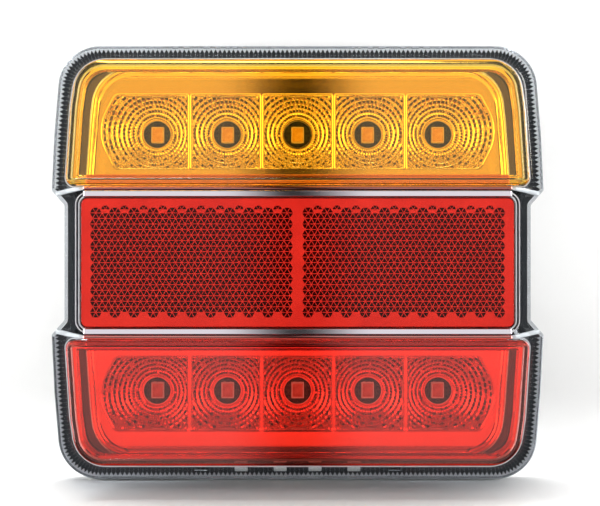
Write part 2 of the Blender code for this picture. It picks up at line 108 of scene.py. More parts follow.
# The clear cover
COVER_WALL = 1.4 * MM
WAIST_WALL = 0.9 * MM
COVER_PLATE = 2.0 * MM
WINDOW_LAP = 1.2 * MM
SKIRT_DEPTH = 7.0 * MM
TOOTH_PITCH = 1.0 * MM
TOOTH_HEIGHT = 0.85 * MM
TOOTH_ROOT = 0.8 * MM
TOOTH_BACKING = 0.1 * MM
TOOTH_DEPTHS = (7.7 * MM, 8.1 * MM)
WAIST_END = 16.4 * MM
KNURL_PITCH = 0.5 * MM
KNURL_ROWS = (0.25 * MM, 0.5 * MM, 0.75 * MM)
KNURL_DEPTH = 7.75 * MM
KNURL_BACKING = 0.3 * MM
KNURL_HEIGHT = 0.14 * MM
SEAL_SPAN = (0.85 * MM, 1.95 * MM)
SEAL_DEPTHS = (7.1 * MM, 7.6 * MM)
# the cover's edges from the waist to the lenses: height, then (half width, depth) of both ends
STEP_HEIGHT = 15.45 * MM
STEP_START = (53.6 * MM, 8.2 * MM)
STEP_END = (44.9 * MM, 31.4 * MM)
STEP_HALF_SIZE = 0.5 * MM
STEP_TAPER = 0.12 * MM
STEP_RADIUS = 0.3 * MM
# a bead's profile: shares of its width, and rises in mm from the cover's front
BEAD_PROFILE = ((0.0, -0.1), (0.0, 0.12), (0.3, 0.22), (0.7, 0.22), (1.0, 0.12), (1.0, -0.1))

# The lenses and the reflex panel's front: insets in mm, and depths in mm from the front
FLANGE = 3.6 * MM
LENS_SKIRT = 1.25 * MM
LENS_SKIRT_WALL = 0.62 * MM
LENS_RIM = ((0.0, -0.45), (0.13, -0.13), (0.45, 0.0), (1.0, 0.0), (1.2, -0.06), (1.45, -0.32), (1.55, -0.32))
LENS_INSIDE = ((0.05, -2.2), (0.12, -2.05), (0.3, -2.0), (0.4, -2.0))
PANEL_SKIRT = 1.5 * MM
PANEL_SKIRT_INSIDE = 2.4 * MM
PANEL_WALL = 0.22 * MM
PANEL_RIM = ((0.0, -0.4), (0.12, -0.12), (0.4, 0.0), (0.5, 0.0))

# Under the lenses' rims: insets from the lens's outline, and depths
LEDGE_SPAN = (0.15 * MM, 1.95 * MM)
LEDGE_DEPTHS = (27.7 * MM, 28.3 * MM)
GAP_WALL_SPAN = (1.2 * MM, 2.9 * MM)
GAP_WALL_DEPTHS = (20.0 * MM, 22.0 * MM)
APRON_DEPTHS = (27.2 * MM, 28.42 * MM)

# The ends of the number plate lamps' light guides: half sizes, height over the rim, (inset, depth) rows
PLATE_WINDOW = (1.45 * MM, 0.75 * MM)
PLATE_WINDOW_RISE = 0.95 * MM
PLATE_WINDOW_PROFILE = ((0.0, 7.55 * MM), (0.0, 7.8 * MM), (0.12 * MM, 7.95 * MM))
PLATE_MASK_HALF_WIDTH = 20.6 * MM
PLATE_MASK_RISES = (0.15 * MM, 2.3 * MM)
PLATE_MASK_DEPTHS = (6.7 * MM, 7.45 * MM)

# A surface-mount lamp: half sizes in metres, and (inset, depth from its front) rows in mm
LED_HALF = (1.4 * MM, 1.75 * MM, 0.65 * MM)
LED_CORNER = 0.2 * MM
LED_RIM = ((0.0, -0.25), (0.1, -0.15), (0.28, -0.15))
LED_WINDOW = ((0.28, -0.15), (0.38, -0.32), (0.7, -0.24))
CONTACT_HALF = (0.9 * MM, 0.18 * MM)
CONTACT_HEIGHT = 0.35 * MM

# The fixings
THREAD_PITCH = 0.8 * MM
THREAD_DEPTH = 0.42 * MM
STEPS_PER_THREAD = 8
STUD_CREST = 2.48 * MM
STUD_CHAMFER = 0.75 * MM
STUD_CENTRE = 0.3 * MM
STUD_EDGE = 0.3 * MM
STUD_HEAD = 2.4 * MM
THREAD_END = -0.5 * MM
NUT_BORE = 2.56 * MM
NUT_BORE_BEVEL = (0.35 * MM, 0.5 * MM)
NUT_CHAMFER = math.radians(30)
NUT_RISES = (0.0, 0.08 * MM, 0.16 * MM, 0.26 * MM, 0.36 * MM, 0.5 * MM, 0.7 * MM)
WASHER_BORE = 2.75 * MM
SPLIT = math.radians(9)
SPLIT_STEPS = 72
SPLIT_SECTION = 0.72

# The surroundings that the lamp mirrors: the brightness of each part
WORLD_FRONT = 0.98
WORLD_SIDES = 1.15
WORLD_TOP = 1.0
WORLD_LOW = 0.8
WORLD_DARK = 0.07
WORLD_BEHIND = 0.45
WORLD_GAP = 0.03
BACKDROP_SEEN = 0.95

# The paper under and behind the lamp, and where it starts to glow
FLOOR_DROP = 0.3 * MM
REAR_FLOOR_DROP = 0.2 * MM
WALL_BEHIND = 2.0 * MM
SWEEP_RADIUS = 20.0 * MM
SWEEP_STEPS = 12
SWEEP_REACH = 3.0
GLOW_AWAY = (0.25, 0.8)
GLOW_AWAY_LEVEL = 0.9
GLOW_UP = (0.01, 0.06)
GLOW_UP_LEVEL = 0.16

# name, place, (width, height), power
LIGHTS = (
    ("left_softbox", (-0.60, -0.60, 0.12), (0.5, 0.7), 5.8),
    ("right_softbox", (0.62, -0.60, 0.12), (0.5, 0.7), 4.8),
    ("top_softbox", (-0.08, 0.1, 0.8), (0.6, 0.35), 7.5),
    ("rear_left_softbox", (-0.7, 0.6, 0.45), (0.6, 0.6), 4.0),
    ("rear_right_softbox", (0.6, 0.75, 0.35), (0.6, 0.6), 5.5),
)

CAMERA_DISTANCE = 0.335
CAMERA_SHIFT = (0.004, 0.016)
CAMERA_NEAR = 0.01
FOCAL_PIXELS = 1462
FRAME_WIDTH = 600
SENSOR = 36.0


# ---- outlines

def offset(corners, grow):
    """The same corners with every side moved outward by grow, and the radii changed to suit."""
    moved = []
    for i, (x, height, radius) in enumerate(corners):
        here = Vector((x, height))
        arriving = (here - Vector(corners[i - 1][:2])).normalized()
        leaving = (Vector(corners[(i + 1) % len(corners)][:2]) - here).normalized()
        outward = Vector((arriving.y + leaving.y, -arriving.x - leaving.x))
        here += outward * grow / (1 + arriving.dot(leaving))
        bend = math.copysign(grow, arriving.cross(leaving) * grow)
        moved.append((here.x, here.y, max(radius + bend, 0.15 * MM)))
    return moved


def rounded(corners, steps=10):
    """Points round a closed counter-clockwise outline whose corners are (x, height, radius)."""
    points = []
    for i, (x, height, radius) in enumerate(corners):
        here = Vector((x, height))
        back = (Vector(corners[i - 1][:2]) - here).normalized()
        on = (Vector(corners[(i + 1) % len(corners)][:2]) - here).normalized()
        half = back.angle(on) / 2
        centre = here + (back + on).normalized() * radius / math.sin(half)
        start = here + back * radius / math.tan(half) - centre
        end = here + on * radius / math.tan(half) - centre
        first = math.atan2(start.y, start.x)
        sweep = math.remainder(math.atan2(end.y, end.x) - first, math.tau)
        for step in range(steps + 1):
            angle = first + sweep * step / steps
            points.append(Vector((centre.x + radius * math.cos(angle), centre.y + radius * math.sin(angle))))
    return points


def mirrored_left(right_side):
    return right_side + [(-x, height, radius) for x, height, radius in reversed(right_side)]


def turned_over(corners):
    """The outline mirrored top to bottom, still counter-clockwise."""
    return [(x, -height, radius) for x, height, radius in reversed(corners)]


def four_fold(quadrant):
    """Corners of a whole outline from those of its upper right quarter."""
    upper = mirrored_left(quadrant)
    return upper + [(-x, -height, radius) for x, height, radius in upper]


def box_corners(half_width, half_height, radius, x=0.0, height=0.0):
    right_side = [(half_width, -half_height, radius), (half_width, half_height, radius)]
    return [(x + a, height + b, r) for a, b, r in mirrored_left(right_side)]


def node_extent(node):
    """(least x, least height, least depth), (most x, most height, most depth) of a CAD node."""
    low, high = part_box(node)
    return Vector((low[0], low[2], -high[1])), Vector((high[0], high[2], -low[1]))


COVER_LOW, COVER_HIGH = node_extent("clear_cover")
LENS_LOW, LENS_HIGH = node_extent("amber_lens")
PANEL_LOW, PANEL_HIGH = node_extent("reflex_panel")
TRAY_LOW, TRAY_HIGH = node_extent("reflector_tray_upper")
LED_LOW, LED_HIGH = node_extent("amber_led_1")
SECOND_LED_LOW, _ = node_extent("amber_led_2")
LED_PITCH = SECOND_LED_LOW.x - LED_LOW.x
LED_HEIGHT = (LED_LOW.y + LED_HIGH.y) / 2
CUP_FLOOR = TRAY_LOW.z + 1.6 * MM


def base_outline(inset=0.0, waist_inset=0.0):
    """The body's widest outline, moved inward, and by another amount across the waist."""
    side, top = COVER_HIGH.x, COVER_HIGH.y
    quarter = [
        (side - 2.9 * MM, 12.9 * MM, 0.8 * MM),
        (side, 16.2 * MM, 0.9 * MM),
        (side - 0.6 * MM, 29.0 * MM, 30.0 * MM),
        (side - 2.2 * MM, top, 9.5 * MM),
    ]
    quarter = offset(four_fold(quarter), -inset)[:4]
    quarter[0] = (side - 2.9 * MM - waist_inset, quarter[0][1], quarter[0][2])
    return rounded(four_fold(quarter), BASE_STEPS)


def front_outline(inset=0.0):
    """The clear cover's outline where its sloping walls meet its front."""
    side, top = LENS_HIGH.x, LENS_HIGH.y
    quarter = [
        (side - 1.3 * MM, 13.2 * MM, 0.8 * MM),
        (side + 1.0 * MM, 15.8 * MM, 0.9 * MM),
        (side - 0.4 * MM, 32.0 * MM, 30.0 * MM),
        (side - 1.5 * MM, top + 0.9 * MM, 7.4 * MM),
    ]
    return rounded(offset(four_fold(quarter), -inset), BASE_STEPS)


def lens_corners():
    """The amber lens's outline; the red lens is this turned over."""
    side, low, top = LENS_HIGH.x, LENS_LOW.y, LENS_HIGH.y
    return mirrored_left([
        (side + 0.1 * MM, low, 1.6 * MM),
        (side - 0.95 * MM, 32.0 * MM, 30.0 * MM),
        (side - 2.4 * MM, top, 6.6 * MM),
    ])


def panel_corners():
    return box_corners(PANEL_HIGH.x, PANEL_HIGH.y, 1.5 * MM)


def tray_corners():
    side, low, top = TRAY_HIGH.x, TRAY_LOW.y, TRAY_HIGH.y
    return mirrored_left([
        (side, low, 1.0 * MM),
        (side - 0.9 * MM, 30.0 * MM, 30.0 * MM),
        (side - 2.2 * MM, top + 0.7 * MM, 8.5 * MM),
    ])


# ---- materials

def fill(node, inputs):
    """Gives a node's inputs values, or links to other nodes' outputs, by the inputs' names or places."""
    for socket, value in inputs.items():
        if isinstance(value, bpy.types.NodeSocket):
            node.id_data.links.new(value, node.inputs[socket])
        else:
            node.inputs[socket].default_value = value


def add_node(tree, kind, inputs=None, **settings):
    """A new shader node with some of its settings and inputs filled in."""
    node = tree.nodes.new(f"ShaderNode{kind}")
    for setting, value in settings.items():
        setattr(node, setting, value)
    fill(node, inputs or {})
    return node


def math_node(tree, operation, *inputs):
    return add_node(tree, "Math", dict(enumerate(inputs)), operation=operation).outputs[0]


def ramp(tree, value, places, levels, interpolation="SMOOTHSTEP"):
    """A step between two levels as value passes between two places."""
    inputs = {
        "Value": value, "From Min": places[0], "From Max": places[1],
        "To Min": levels[0], "To Max": levels[1],
    }
    return add_node(tree, "MapRange", inputs, interpolation_type=interpolation).outputs["Result"]


def mix_shaders(tree, share, first, second):
    """Shows a mix of two shaders on the material's surface; share is how much is the second."""
    inputs = {"Fac": share, 1: first.outputs["BSDF"], 2: second.outputs["BSDF"]}
    mix = add_node(tree, "MixShader", inputs)
    fill(tree.nodes["Material Output"], {"Surface": mix.outputs["Shader"]})


def new_material(name, colour, roughness, metallic=0.0):
    """Makes a material, and returns its shader node."""
    made = bpy.data.materials.new(name)
    made.use_nodes = True
    shader = made.node_tree.nodes["Principled BSDF"]
    fill(shader, {"Base Color": (*colour, 1), "Roughness": roughness, "Metallic": metallic})
    return shader


# the part of the noise's range over which a finish varies
NOISE_SPAN = (0.35, 0.65)


def noise(tree, scale, detail=4.0):
    """Noise fixed to the piece, about 0.5 at its middle."""
    place = add_node(tree, "TexCoord").outputs["Object"]
    return add_node(tree, "TexNoise", {"Scale": scale, "Detail": detail, "Vector": place}).outputs["Fac"]


def add_bump(shader, scale, distance, strength, detail=3.0):
    tree = shader.id_data
    height = noise(tree, scale, detail)
    bump = add_node(tree, "Bump", {"Strength": strength, "Distance": distance, "Height": height})
    fill(shader, {"Normal": bump.outputs["Normal"]})


def vary_roughness(shader, scale, least, most):
    tree = shader.id_data
    fill(shader, {"Roughness": ramp(tree, noise(tree, scale), NOISE_SPAN, (least, most), "LINEAR")})


def vary_colour(shader, scale, dark, light):
    tree = shader.id_data
    node = add_node(tree, "ValToRGB", {"Fac": noise(tree, scale)})
    for element, place, colour in zip(node.color_ramp.elements, NOISE_SPAN, (dark, light)):
        element.position = place
        element.color = (*colour, 1)
    fill(shader, {"Base Color": node.outputs["Color"]})


def finish(name, colour, roughness, metallic=0.0, gloss=None, tint=None, bump=None, sockets=None):
    """A material with fine variation in it.

    gloss is (scale, least, most) of its roughness, tint is (scale, dark, light) of its colour, bump is
    (scale, distance, strength) with perhaps a detail, and sockets are more of the shader's values.
    """
    shader = new_material(name, colour, roughness, metallic)
    if gloss:
        vary_roughness(shader, *gloss)
    if tint:
        vary_colour(shader, *tint)
    if bump:
        add_bump(shader, *bump)
    fill(shader, sockets or {})
    return bpy.data.materials[name]


def clear_material(name, colour, shade, ior=1.49, straight=0.0):
    """Transparent moulded acrylic.

    shade tints the light that it lets through onto what is behind, and straight is the share that
    passes without bending or mirroring.
    """
    shader = new_material(name, colour, 0.008)
    tree = shader.id_data
    fill(shader, {"Transmission Weight": 1.0, "IOR": ior})
    add_bump(shader, 180.0, 0.004 * MM, 0.25, 1.0)
    light = add_node(tree, "BsdfTransparent", {"Color": (*shade, 1)})
    in_shadow = add_node(tree, "LightPath").outputs["Is Shadow Ray"]
    mix_shaders(tree, math_node(tree, "MAXIMUM", in_shadow, straight), shader, light)
    return bpy.data.materials[name]


def circuit_board():
    """Dark solder mask with faint straight traces under it."""
    shader = new_material("solder_mask", (0.012, 0.03, 0.02), 0.35)
    tree = shader.id_data
    place = add_node(tree, "TexCoord").outputs["Object"]
    turn = add_node(tree, "Mapping", {"Rotation": (math.pi / 2, 0, 0), "Vector": place})
    bricks = add_node(tree, "TexBrick", {
        "Scale": 260.0,
        "Mortar Size": 0.06,
        "Color1": (0.010, 0.026, 0.018, 1),
        "Color2": (0.014, 0.036, 0.024, 1),
        "Mortar": (0.03, 0.07, 0.045, 1),
        "Vector": turn.outputs["Vector"],
    })
    fill(shader, {"Base Color": bricks.outputs["Color"]})
    return bpy.data.materials["solder_mask"]


MATERIALS = {
    "clear": clear_material("clear_acrylic", (0.86, 0.88, 0.9), (0.86, 0.88, 0.9), 1.25, 0.84),
    "amber": clear_material("amber_acrylic", (1.0, 0.63, 0.11), (0.8, 0.62, 0.4)),
    "red": clear_material("red_acrylic", (0.81, 0.13, 0.085), (0.6, 0.42, 0.4)),
    "reflex_front": clear_material("reflex_red_acrylic", (1.0, 0.18, 0.13), (0.8, 0.5, 0.46), 1.49, 0.75),
    "black": finish(
        "black_abs", (0.013, 0.014, 0.016), 0.42,
        gloss=(60.0, 0.36, 0.52), bump=(2600.0, 0.02 * MM, 0.5, 2.0)),
    "grey": finish(
        "grey_abs", (0.095, 0.065, 0.06), 0.5, gloss=(90.0, 0.42, 0.58), bump=(2200.0, 0.02 * MM, 0.4, 2.0)),
    "metallised": finish(
        "metallised_plastic", (0.95, 0.94, 0.92), 0.06, 1.0,
        gloss=(90.0, 0.035, 0.075), bump=(220.0, 0.02 * MM, 0.25, 2.0)),
    # painted reflection: the metallising painted pinkish red, for the red plastic beside it mirrored in it
    "warm": finish("metallised_beside_red", (0.93, 0.4, 0.36), 0.06, 1.0, gloss=(60.0, 0.04, 0.09)),
    # metallising with a faint lilac cast, under the clear cover
    "dull": finish("metallised_dull", (0.74, 0.69, 0.75), 0.05, 1.0, gloss=(80.0, 0.03, 0.07)),
    # painted shade: a dark finish on the risers between facets, for their shade and dark reflections
    "riser": finish("metallised_thin", (0.14, 0.125, 0.11), 0.25, 0.7, gloss=(400.0, 0.2, 0.35)),
    # the knurled edge of the cover, which throws back light in all directions
    "cut": finish("cover_knurl", (0.62, 0.63, 0.64), 0.12, 0.9, gloss=(700.0, 0.08, 0.22)),
    "bead": finish(
        "cover_edge", (0.42, 0.42, 0.44), 0.3, gloss=(400.0, 0.22, 0.4), sockets={"Coat Weight": 0.5}),
    "frosted": finish(
        "frosted_clear", (0.86, 0.87, 0.88), 0.5, bump=(1200.0, 0.03 * MM, 0.5),
        sockets={"Transmission Weight": 0.2, "IOR": 1.49}),
    "zinc": finish(
        "zinc_plated_steel", (0.6, 0.6, 0.58), 0.3, 1.0, gloss=(700.0, 0.2, 0.42),
        tint=(220.0, (0.5, 0.5, 0.47), (0.68, 0.68, 0.67)), bump=(1800.0, 0.01 * MM, 0.4)),
    "rubber": finish(
        "moulded_rubber", (0.016, 0.016, 0.017), 0.75,
        gloss=(240.0, 0.62, 0.85), bump=(1500.0, 0.03 * MM, 0.5)),
    "white": finish(
        "white_moulding", (0.84, 0.84, 0.82), 0.42,
        tint=(90.0, (0.8, 0.8, 0.77), (0.88, 0.88, 0.86)), bump=(1200.0, 0.01 * MM, 0.4)),
    "board": circuit_board(),
    "chip": finish(
        "moulded_epoxy", (0.02, 0.02, 0.022), 0.5, gloss=(500.0, 0.4, 0.6), bump=(3000.0, 0.01 * MM, 0.4)),
    "led_body": finish(
        "led_package_white", (0.82, 0.8, 0.74), 0.4, tint=(900.0, (0.76, 0.74, 0.68), (0.86, 0.85, 0.8))),
    "led_window": finish(
        "led_phosphor", (0.86, 0.62, 0.12), 0.25, tint=(1500.0, (0.8, 0.52, 0.08), (0.9, 0.68, 0.18)),
        sockets={"Coat Weight": 0.6}),
    "led_window_red": finish(
        "led_window_red", (0.7, 0.2, 0.14), 0.3, tint=(900.0, (0.62, 0.17, 0.12), (0.76, 0.24, 0.17))),
    "solder": finish("solder_tin", (0.75, 0.75, 0.74), 0.28, 1.0, gloss=(900.0, 0.2, 0.4)),
    "reflex_flat": finish(
        "reflex_red_flat", (0.72, 0.08, 0.055), 0.3, tint=(120.0, (0.67, 0.07, 0.05), (0.77, 0.09, 0.06)),
        sockets={"Specular IOR Level": 0.25}),
    # painted shade: the prism pits painted near black, for the dark look of the corner prisms from the front
    "reflex_prism": finish(
        "reflex_red_prism", (0.035, 0.001, 0.001), 0.3,
        tint=(300.0, (0.02, 0.001, 0.001), (0.05, 0.002, 0.002)), sockets={"Specular IOR Level": 0.15}),
}


# ---- mesh helpers

def at(x, height, depth):
    """The world place of a drawn point."""
    return Vector((x, -depth, height))


def new_object(name, data):
    obj = bpy.data.objects.new(name, data)
    bpy.context.scene.collection.objects.link(obj)
    return obj


def mesh_of(name, bm):
    """A mesh from a bmesh, which is then freed."""
    mesh = bpy.data.meshes.new(name)
    bm.to_mesh(mesh)
    bm.free()
    return mesh


def smooth_below(mesh, angle):
    """Shades a mesh smooth apart from its edges sharper than angle, in degrees."""
    mesh.shade_smooth()
    mesh.set_sharp_from_angle(angle=math.radians(angle))


def place_mesh(name, mesh, materials, replaces, body=LAMP, smooth_angle=35.0):
    """Turns a mesh into a piece that rides on a body and stands for CAD nodes."""
    for key in materials:
        mesh.materials.append(MATERIALS[key])
    smooth_below(mesh, smooth_angle)
    obj = new_object(name, mesh)
    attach(obj, body)
    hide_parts(*replaces)
    return obj


def finish_piece(name, bm, materials, replaces, body=LAMP, smooth_angle=35.0):
    """Turns a closed bmesh into a piece, with its faces turned outward."""
    bmesh.ops.recalc_face_normals(bm, faces=bm.faces)
    bmesh.ops.remove_doubles(bm, verts=bm.verts, dist=WELD)
    place_mesh(name, mesh_of(name, bm), materials, replaces, body, smooth_angle)


def finish_cover(name, bm, material, smooth_angle=35.0):
    """Turns a closed bmesh into a piece of the clear cover."""
    finish_piece(name, bm, [material], ["clear_cover"], LAMP, smooth_angle)


def helper_object(name, bm):
    bmesh.ops.recalc_face_normals(bm, faces=bm.faces)
    return new_object(name, mesh_of(name, bm))


def add_loop(bm, loop, depth):
    return [bm.verts.new(at(x, height, depth)) for x, height in loop]


def bridge(bm, lower, upper, material=0):
    """Quads between two rings of verts that have equal numbers; returns them."""
    faces = []
    for i in range(len(lower)):
        j = (i + 1) % len(lower)
        faces.append(bm.faces.new((lower[i], lower[j], upper[j], upper[i])))
        faces[-1].material_index = material
    return faces


def cap(bm, ring, forward, material=0):
    """Closes a ring; forward is True where the face looks towards the front."""
    face = bm.faces.new(ring if forward else list(reversed(ring)))
    face.material_index = material


def stack(bm, sections, material=0):
    """Bridges (outline, depth) sections in turn, and returns their rings of verts."""
    rings = [add_loop(bm, loop, depth) for loop, depth in sections]
    for lower, upper in zip(rings, rings[1:]):
        bridge(bm, lower, upper, material)
    return rings


def inset_sections(corners, profile, steps):
    """(outline, depth) sections from corners and a profile of (inset, depth) rows."""
    return [(rounded(offset(corners, -inset), steps), depth) for inset, depth in profile]


def from_front(rows, front, inset=0.0):
    """(inset, depth) rows in metres from rows in mm, whose depths are counted from the front."""
    return [(inset + across * MM, front + depth * MM) for across, depth in rows]


def closed_stack(sections):
    """A closed skin over (outline, depth) sections, as a bmesh."""
    bm = bmesh.new()
    rings = stack(bm, sections)
    cap(bm, rings[0], False)
    cap(bm, rings[-1], True)
    return bm


def closed_ring(sections):
    """A closed skin whose (outline, depth) sections lead back to the first, as a bmesh."""
    bm = bmesh.new()
    rings = stack(bm, sections)
    bridge(bm, rings[-1], rings[0])
    return bm


def dish(outer, inner):
    """A front skin and an inner skin behind it, joined along their back edges, as a bmesh."""
    bm = bmesh.new()
    outer_rings = stack(bm, outer)
    inner_rings = stack(bm, inner)
    bridge(bm, outer_rings[0], inner_rings[0])
    cap(bm, outer_rings[-1], True)
    cap(bm, inner_rings[-1], True)
    return bm


def carve(obj, cutters):
    """Cuts the cutters out of obj one after the other, and removes them all; returns the mesh."""
    for cutter in cutters:
        change = obj.modifiers.new("carve", "BOOLEAN")
        change.operation = "DIFFERENCE"
        change.object = cutter
        change.solver = "EXACT"
    graph = bpy.context.evaluated_depsgraph_get()
    mesh = bpy.data.meshes.new_from_object(obj.evaluated_get(graph))
    for used in (obj, *cutters):
        bpy.data.objects.remove(used, do_unlink=True)
    bm = bmesh.new()
    bm.from_mesh(mesh)
    bmesh.ops.triangulate(bm, faces=bm.faces)
    bm.to_mesh(mesh)
    bm.free()
    return mesh


def soften(obj, width, angle):
    """Bevels the edges of obj that are sharper than angle, in degrees."""
    bevel = obj.modifiers.new("soft_edges", "BEVEL")
    bevel.width = width
    bevel.segments = 2
    bevel.limit_method = "ANGLE"
    bevel.angle_limit = math.radians(angle)
    bevel.harden_normals = False


# ---- clear cover

def along(loop):
    """Distance round a closed loop at each of its points, and its whole length."""
    reach, total = [], 0.0
    for i, point in enumerate(loop):
        reach.append(total)
        total += (loop[(i + 1) % len(loop)] - point).length
    return reach, total


def resampled(loop, pitch):
    """Points at equal steps of about half a pitch round a closed loop, two for each pitch."""
    reach, total = along(loop)
    count = 2 * round(total / pitch)
    points = []
    segment = 0
    for k in range(count):
        target = total * k / count
        while segment + 1 < len(loop) and reach[segment + 1] <= target:
            segment += 1
        start, end = loop[segment], loop[(segment + 1) % len(loop)]
        length = max((end - start).length, 1e-9)
        points.append(start.lerp(end, (target - reach[segment]) / length))
    return points


def push_inward(loop, distance, every=1):
    """An evenly spaced closed loop with its points moved inward, or only the last of every so many."""
    moved = []
    for i, point in enumerate(loop):
        tangent = (loop[(i + 1) % len(loop)] - loop[i - 1]).normalized()
        inward = Vector((-tangent.y, tangent.x))
        moved.append(point + inward * (distance if i % every == every - 1 else 0.0))
    return moved


def make_clear_cover():
    """Skirt, sloping walls, and a front with three windows."""
    back, front = COVER_LOW.z, COVER_HIGH.z
    plate_back = front - COVER_PLATE
    outer = [(base_outline(), back), (base_outline(), SKIRT_DEPTH), (front_outline(), front)]
    cover = helper_object("cover_skin", closed_stack(outer))
    base = base_outline(COVER_WALL, WAIST_WALL)
    hollow = [(base, back - MM), (base, SKIRT_DEPTH), (front_outline(COVER_WALL + 0.6 * MM), plate_back)]
    cutters = [helper_object("cover_hollow", closed_stack(hollow))]
    window = offset(lens_corners(), -WINDOW_LAP)
    for corners in (window, turned_over(window), offset(panel_corners(), -WINDOW_LAP)):
        hole = [(rounded(corners), plate_back - MM), (rounded(corners), front + MM)]
        cutters.append(helper_object("cover_window", closed_stack(hole)))
    mesh = carve(cover, cutters)
    cover = place_mesh("clear_cover_shell", mesh, ["clear"], ["clear_cover"])
    soften(cover, 0.22 * MM, 50.0)


def rail_solid(rails):
    """A skin over rails of (x, height, depth) points that run side by side, capped at both ends."""
    bm = bmesh.new()
    verts = [[bm.verts.new(at(*point)) for point in rail] for rail in rails]
    for near, far in zip(verts, verts[1:] + verts[:1]):
        for i in range(len(near) - 1):
            bm.faces.new((near[i], near[i + 1], far[i + 1], far[i]))
    bm.faces.new([rail[0] for rail in verts])
    bm.faces.new([rail[-1] for rail in verts])
    return bm


def beyond_waist(loop, side):
    """Places in a closed loop, in order, of its run above (side 1) or below (side -1) the waist."""
    count = len(loop)
    kept = [side * point.y > WAIST_END for point in loop]
    first = next(i for i in range(count) if kept[i] and not kept[i - 1])
    return [(first + i) % count for i in range(count) if kept[(first + i) % count]]


def make_serration(name, side, material):
    """The fine teeth moulded round the inside of the cover's upper or lower part."""
    outer = push_inward(resampled(base_outline(), TOOTH_PITCH), TOOTH_ROOT)
    inner = push_inward(push_inward(outer, TOOTH_BACKING), TOOTH_HEIGHT, 2)
    near, far = TOOTH_DEPTHS
    places = beyond_waist(outer, side)
    rails = [[(*loop[i], depth) for i in places]
             for loop, depth in ((outer, near), (outer, far), (inner, far), (inner, near))]
    finish_cover(name, rail_solid(rails), material, 20.0)


def make_knurl(name, side, height):
    """Rows of small pyramids outside the teeth."""
    points = resampled(base_outline(), KNURL_PITCH)
    places = beyond_waist(points, side)
    rails = []
    for row, inset in enumerate(KNURL_ROWS):
        loop = push_inward(points, inset)
        rails.append([(*loop[i], KNURL_DEPTH + (height if (k + row) % 2 else 0.0))
                      for k, i in enumerate(places)])
    for inset in (KNURL_ROWS[-1], KNURL_ROWS[0]):
        loop = push_inward(points, inset)
        rails.append([(*loop[i], KNURL_DEPTH - KNURL_BACKING) for i in places])
    bm = rail_solid(rails)
    bmesh.ops.recalc_face_normals(bm, faces=bm.faces)
    bmesh.ops.triangulate(bm, faces=bm.faces)
    finish_cover(name, bm, "cut", 5.0)


def make_rim_seal():
    """The black seal between the housing's rim and the cover."""
    outer, inner = SEAL_SPAN
    back, front = SEAL_DEPTHS
    profile = [(outer, back), (outer, front), (inner, front), (inner, back)]
    bm = closed_ring([(base_outline(inset, inset), depth) for inset, depth in profile])
    finish_piece("rim_seal", bm, ["black"], ["clear_cover"])


def make_step_edge(name, x_side, z_side):
    """A moulded edge of the cover that runs forward from a corner of the waist to a lens."""
    sections = []
    for share in (0.0, 0.25, 0.5, 0.75, 1.0):
        x = x_side * (STEP_START[0] + (STEP_END[0] - STEP_START[0]) * share)
        depth = STEP_START[1] + (STEP_END[1] - STEP_START[1]) * share
        half_height = STEP_HALF_SIZE - STEP_TAPER * share
        corners = box_corners(STEP_HALF_SIZE, half_height, STEP_RADIUS, x, z_side * STEP_HEIGHT)
        sections.append((rounded(corners, 4), depth))
    finish_cover(name, closed_stack(sections), "frosted")


def make_bead(name, corners, start, width):
    """A low rounded rib on the cover's front, along the edge of a window."""
    front = COVER_HIGH.z
    profile = [(-(start + width * share), front + rise * MM) for share, rise in BEAD_PROFILE]
    finish_cover(name, closed_ring(inset_sections(corners, profile, 8)), "bead")


def make_strip(name, extent, depths, bevel, material, node):
    """A straight strip across the lamp with rounded ends and bevelled edges."""
    half_width, low, high = extent
    corners = box_corners(half_width, (high - low) / 2, (high - low) * 0.3, 0.0, (high + low) / 2)
    back, front = depths
    profile = [
        (0.0, back), (0.0, front - bevel), (bevel * 0.3, front - bevel * 0.3), (bevel, front),
        (bevel * 1.2, front),
    ]
    finish_piece(name, closed_stack(inset_sections(corners, profile, 4)), [material], [node])


def make_crossbars():
    """What shows between the reflex panel and each lens: a bright bar, and beside the lens an edge painted
    with a red reflection.
    """
    half_width = PANEL_HIGH.x - 0.5 * MM
    back = COVER_HIGH.z - 0.1 * MM
    bar = (PANEL_HIGH.y + 0.1 * MM, PANEL_HIGH.y + 1.45 * MM)
    edge = (PANEL_HIGH.y + 1.6 * MM, LENS_LOW.y - 0.15 * MM)
    apron = (LENS_LOW.y - 0.3 * MM, LENS_LOW.y + 2.5 * MM)
    for name, side in (("upper", 1), ("lower", -1)):
        for piece, span, depths, bevel, material, node in (
            ("crossbar", bar, (back, COVER_HIGH.z + 0.5 * MM), 0.2 * MM, "dull", "clear_cover"),
            # the edge and the tray's apron carry the painted red reflection
            ("crossbar_edge", edge, (back, COVER_HIGH.z + 0.75 * MM), 0.25 * MM, "warm", "clear_cover"),
            ("tray_apron", apron, APRON_DEPTHS, 0.3 * MM, "warm", f"reflector_tray_{name}"),
        ):
            low, high = sorted(side * height for height in span)
            extent = (half_width, low, high)
            make_strip(f"{piece}_{name}", extent, depths, bevel, material, node)


def make_ring(name, corners, span, depths, material, node):
    """A flat closed ring between two offsets inside an outline."""
    outer, inner = span
    back, front = depths
    edge = 0.1 * MM
    profile = [
        (outer, back), (outer, front - edge), (outer + edge, front), (outer + 1.2 * edge, front),
        (inner - 1.2 * edge, front), (inner - edge, front), (inner, front - edge), (inner, back),
    ]
    finish_piece(name, closed_ring(inset_sections(corners, profile, 10)), [material], [node])


def make_ledges():
    """The bright ledge under each lens's rim, and the grey wall low between ledge and reflector."""
    for name, corners in (("upper", lens_corners()), ("lower", turned_over(lens_corners()))):
        node = f"reflector_tray_{name}"
        make_ring(f"lens_ledge_{name}", corners, LEDGE_SPAN, LEDGE_DEPTHS, "metallised", node)
        make_ring(f"gap_wall_{name}", corners, GAP_WALL_SPAN, GAP_WALL_DEPTHS, "grey", node)


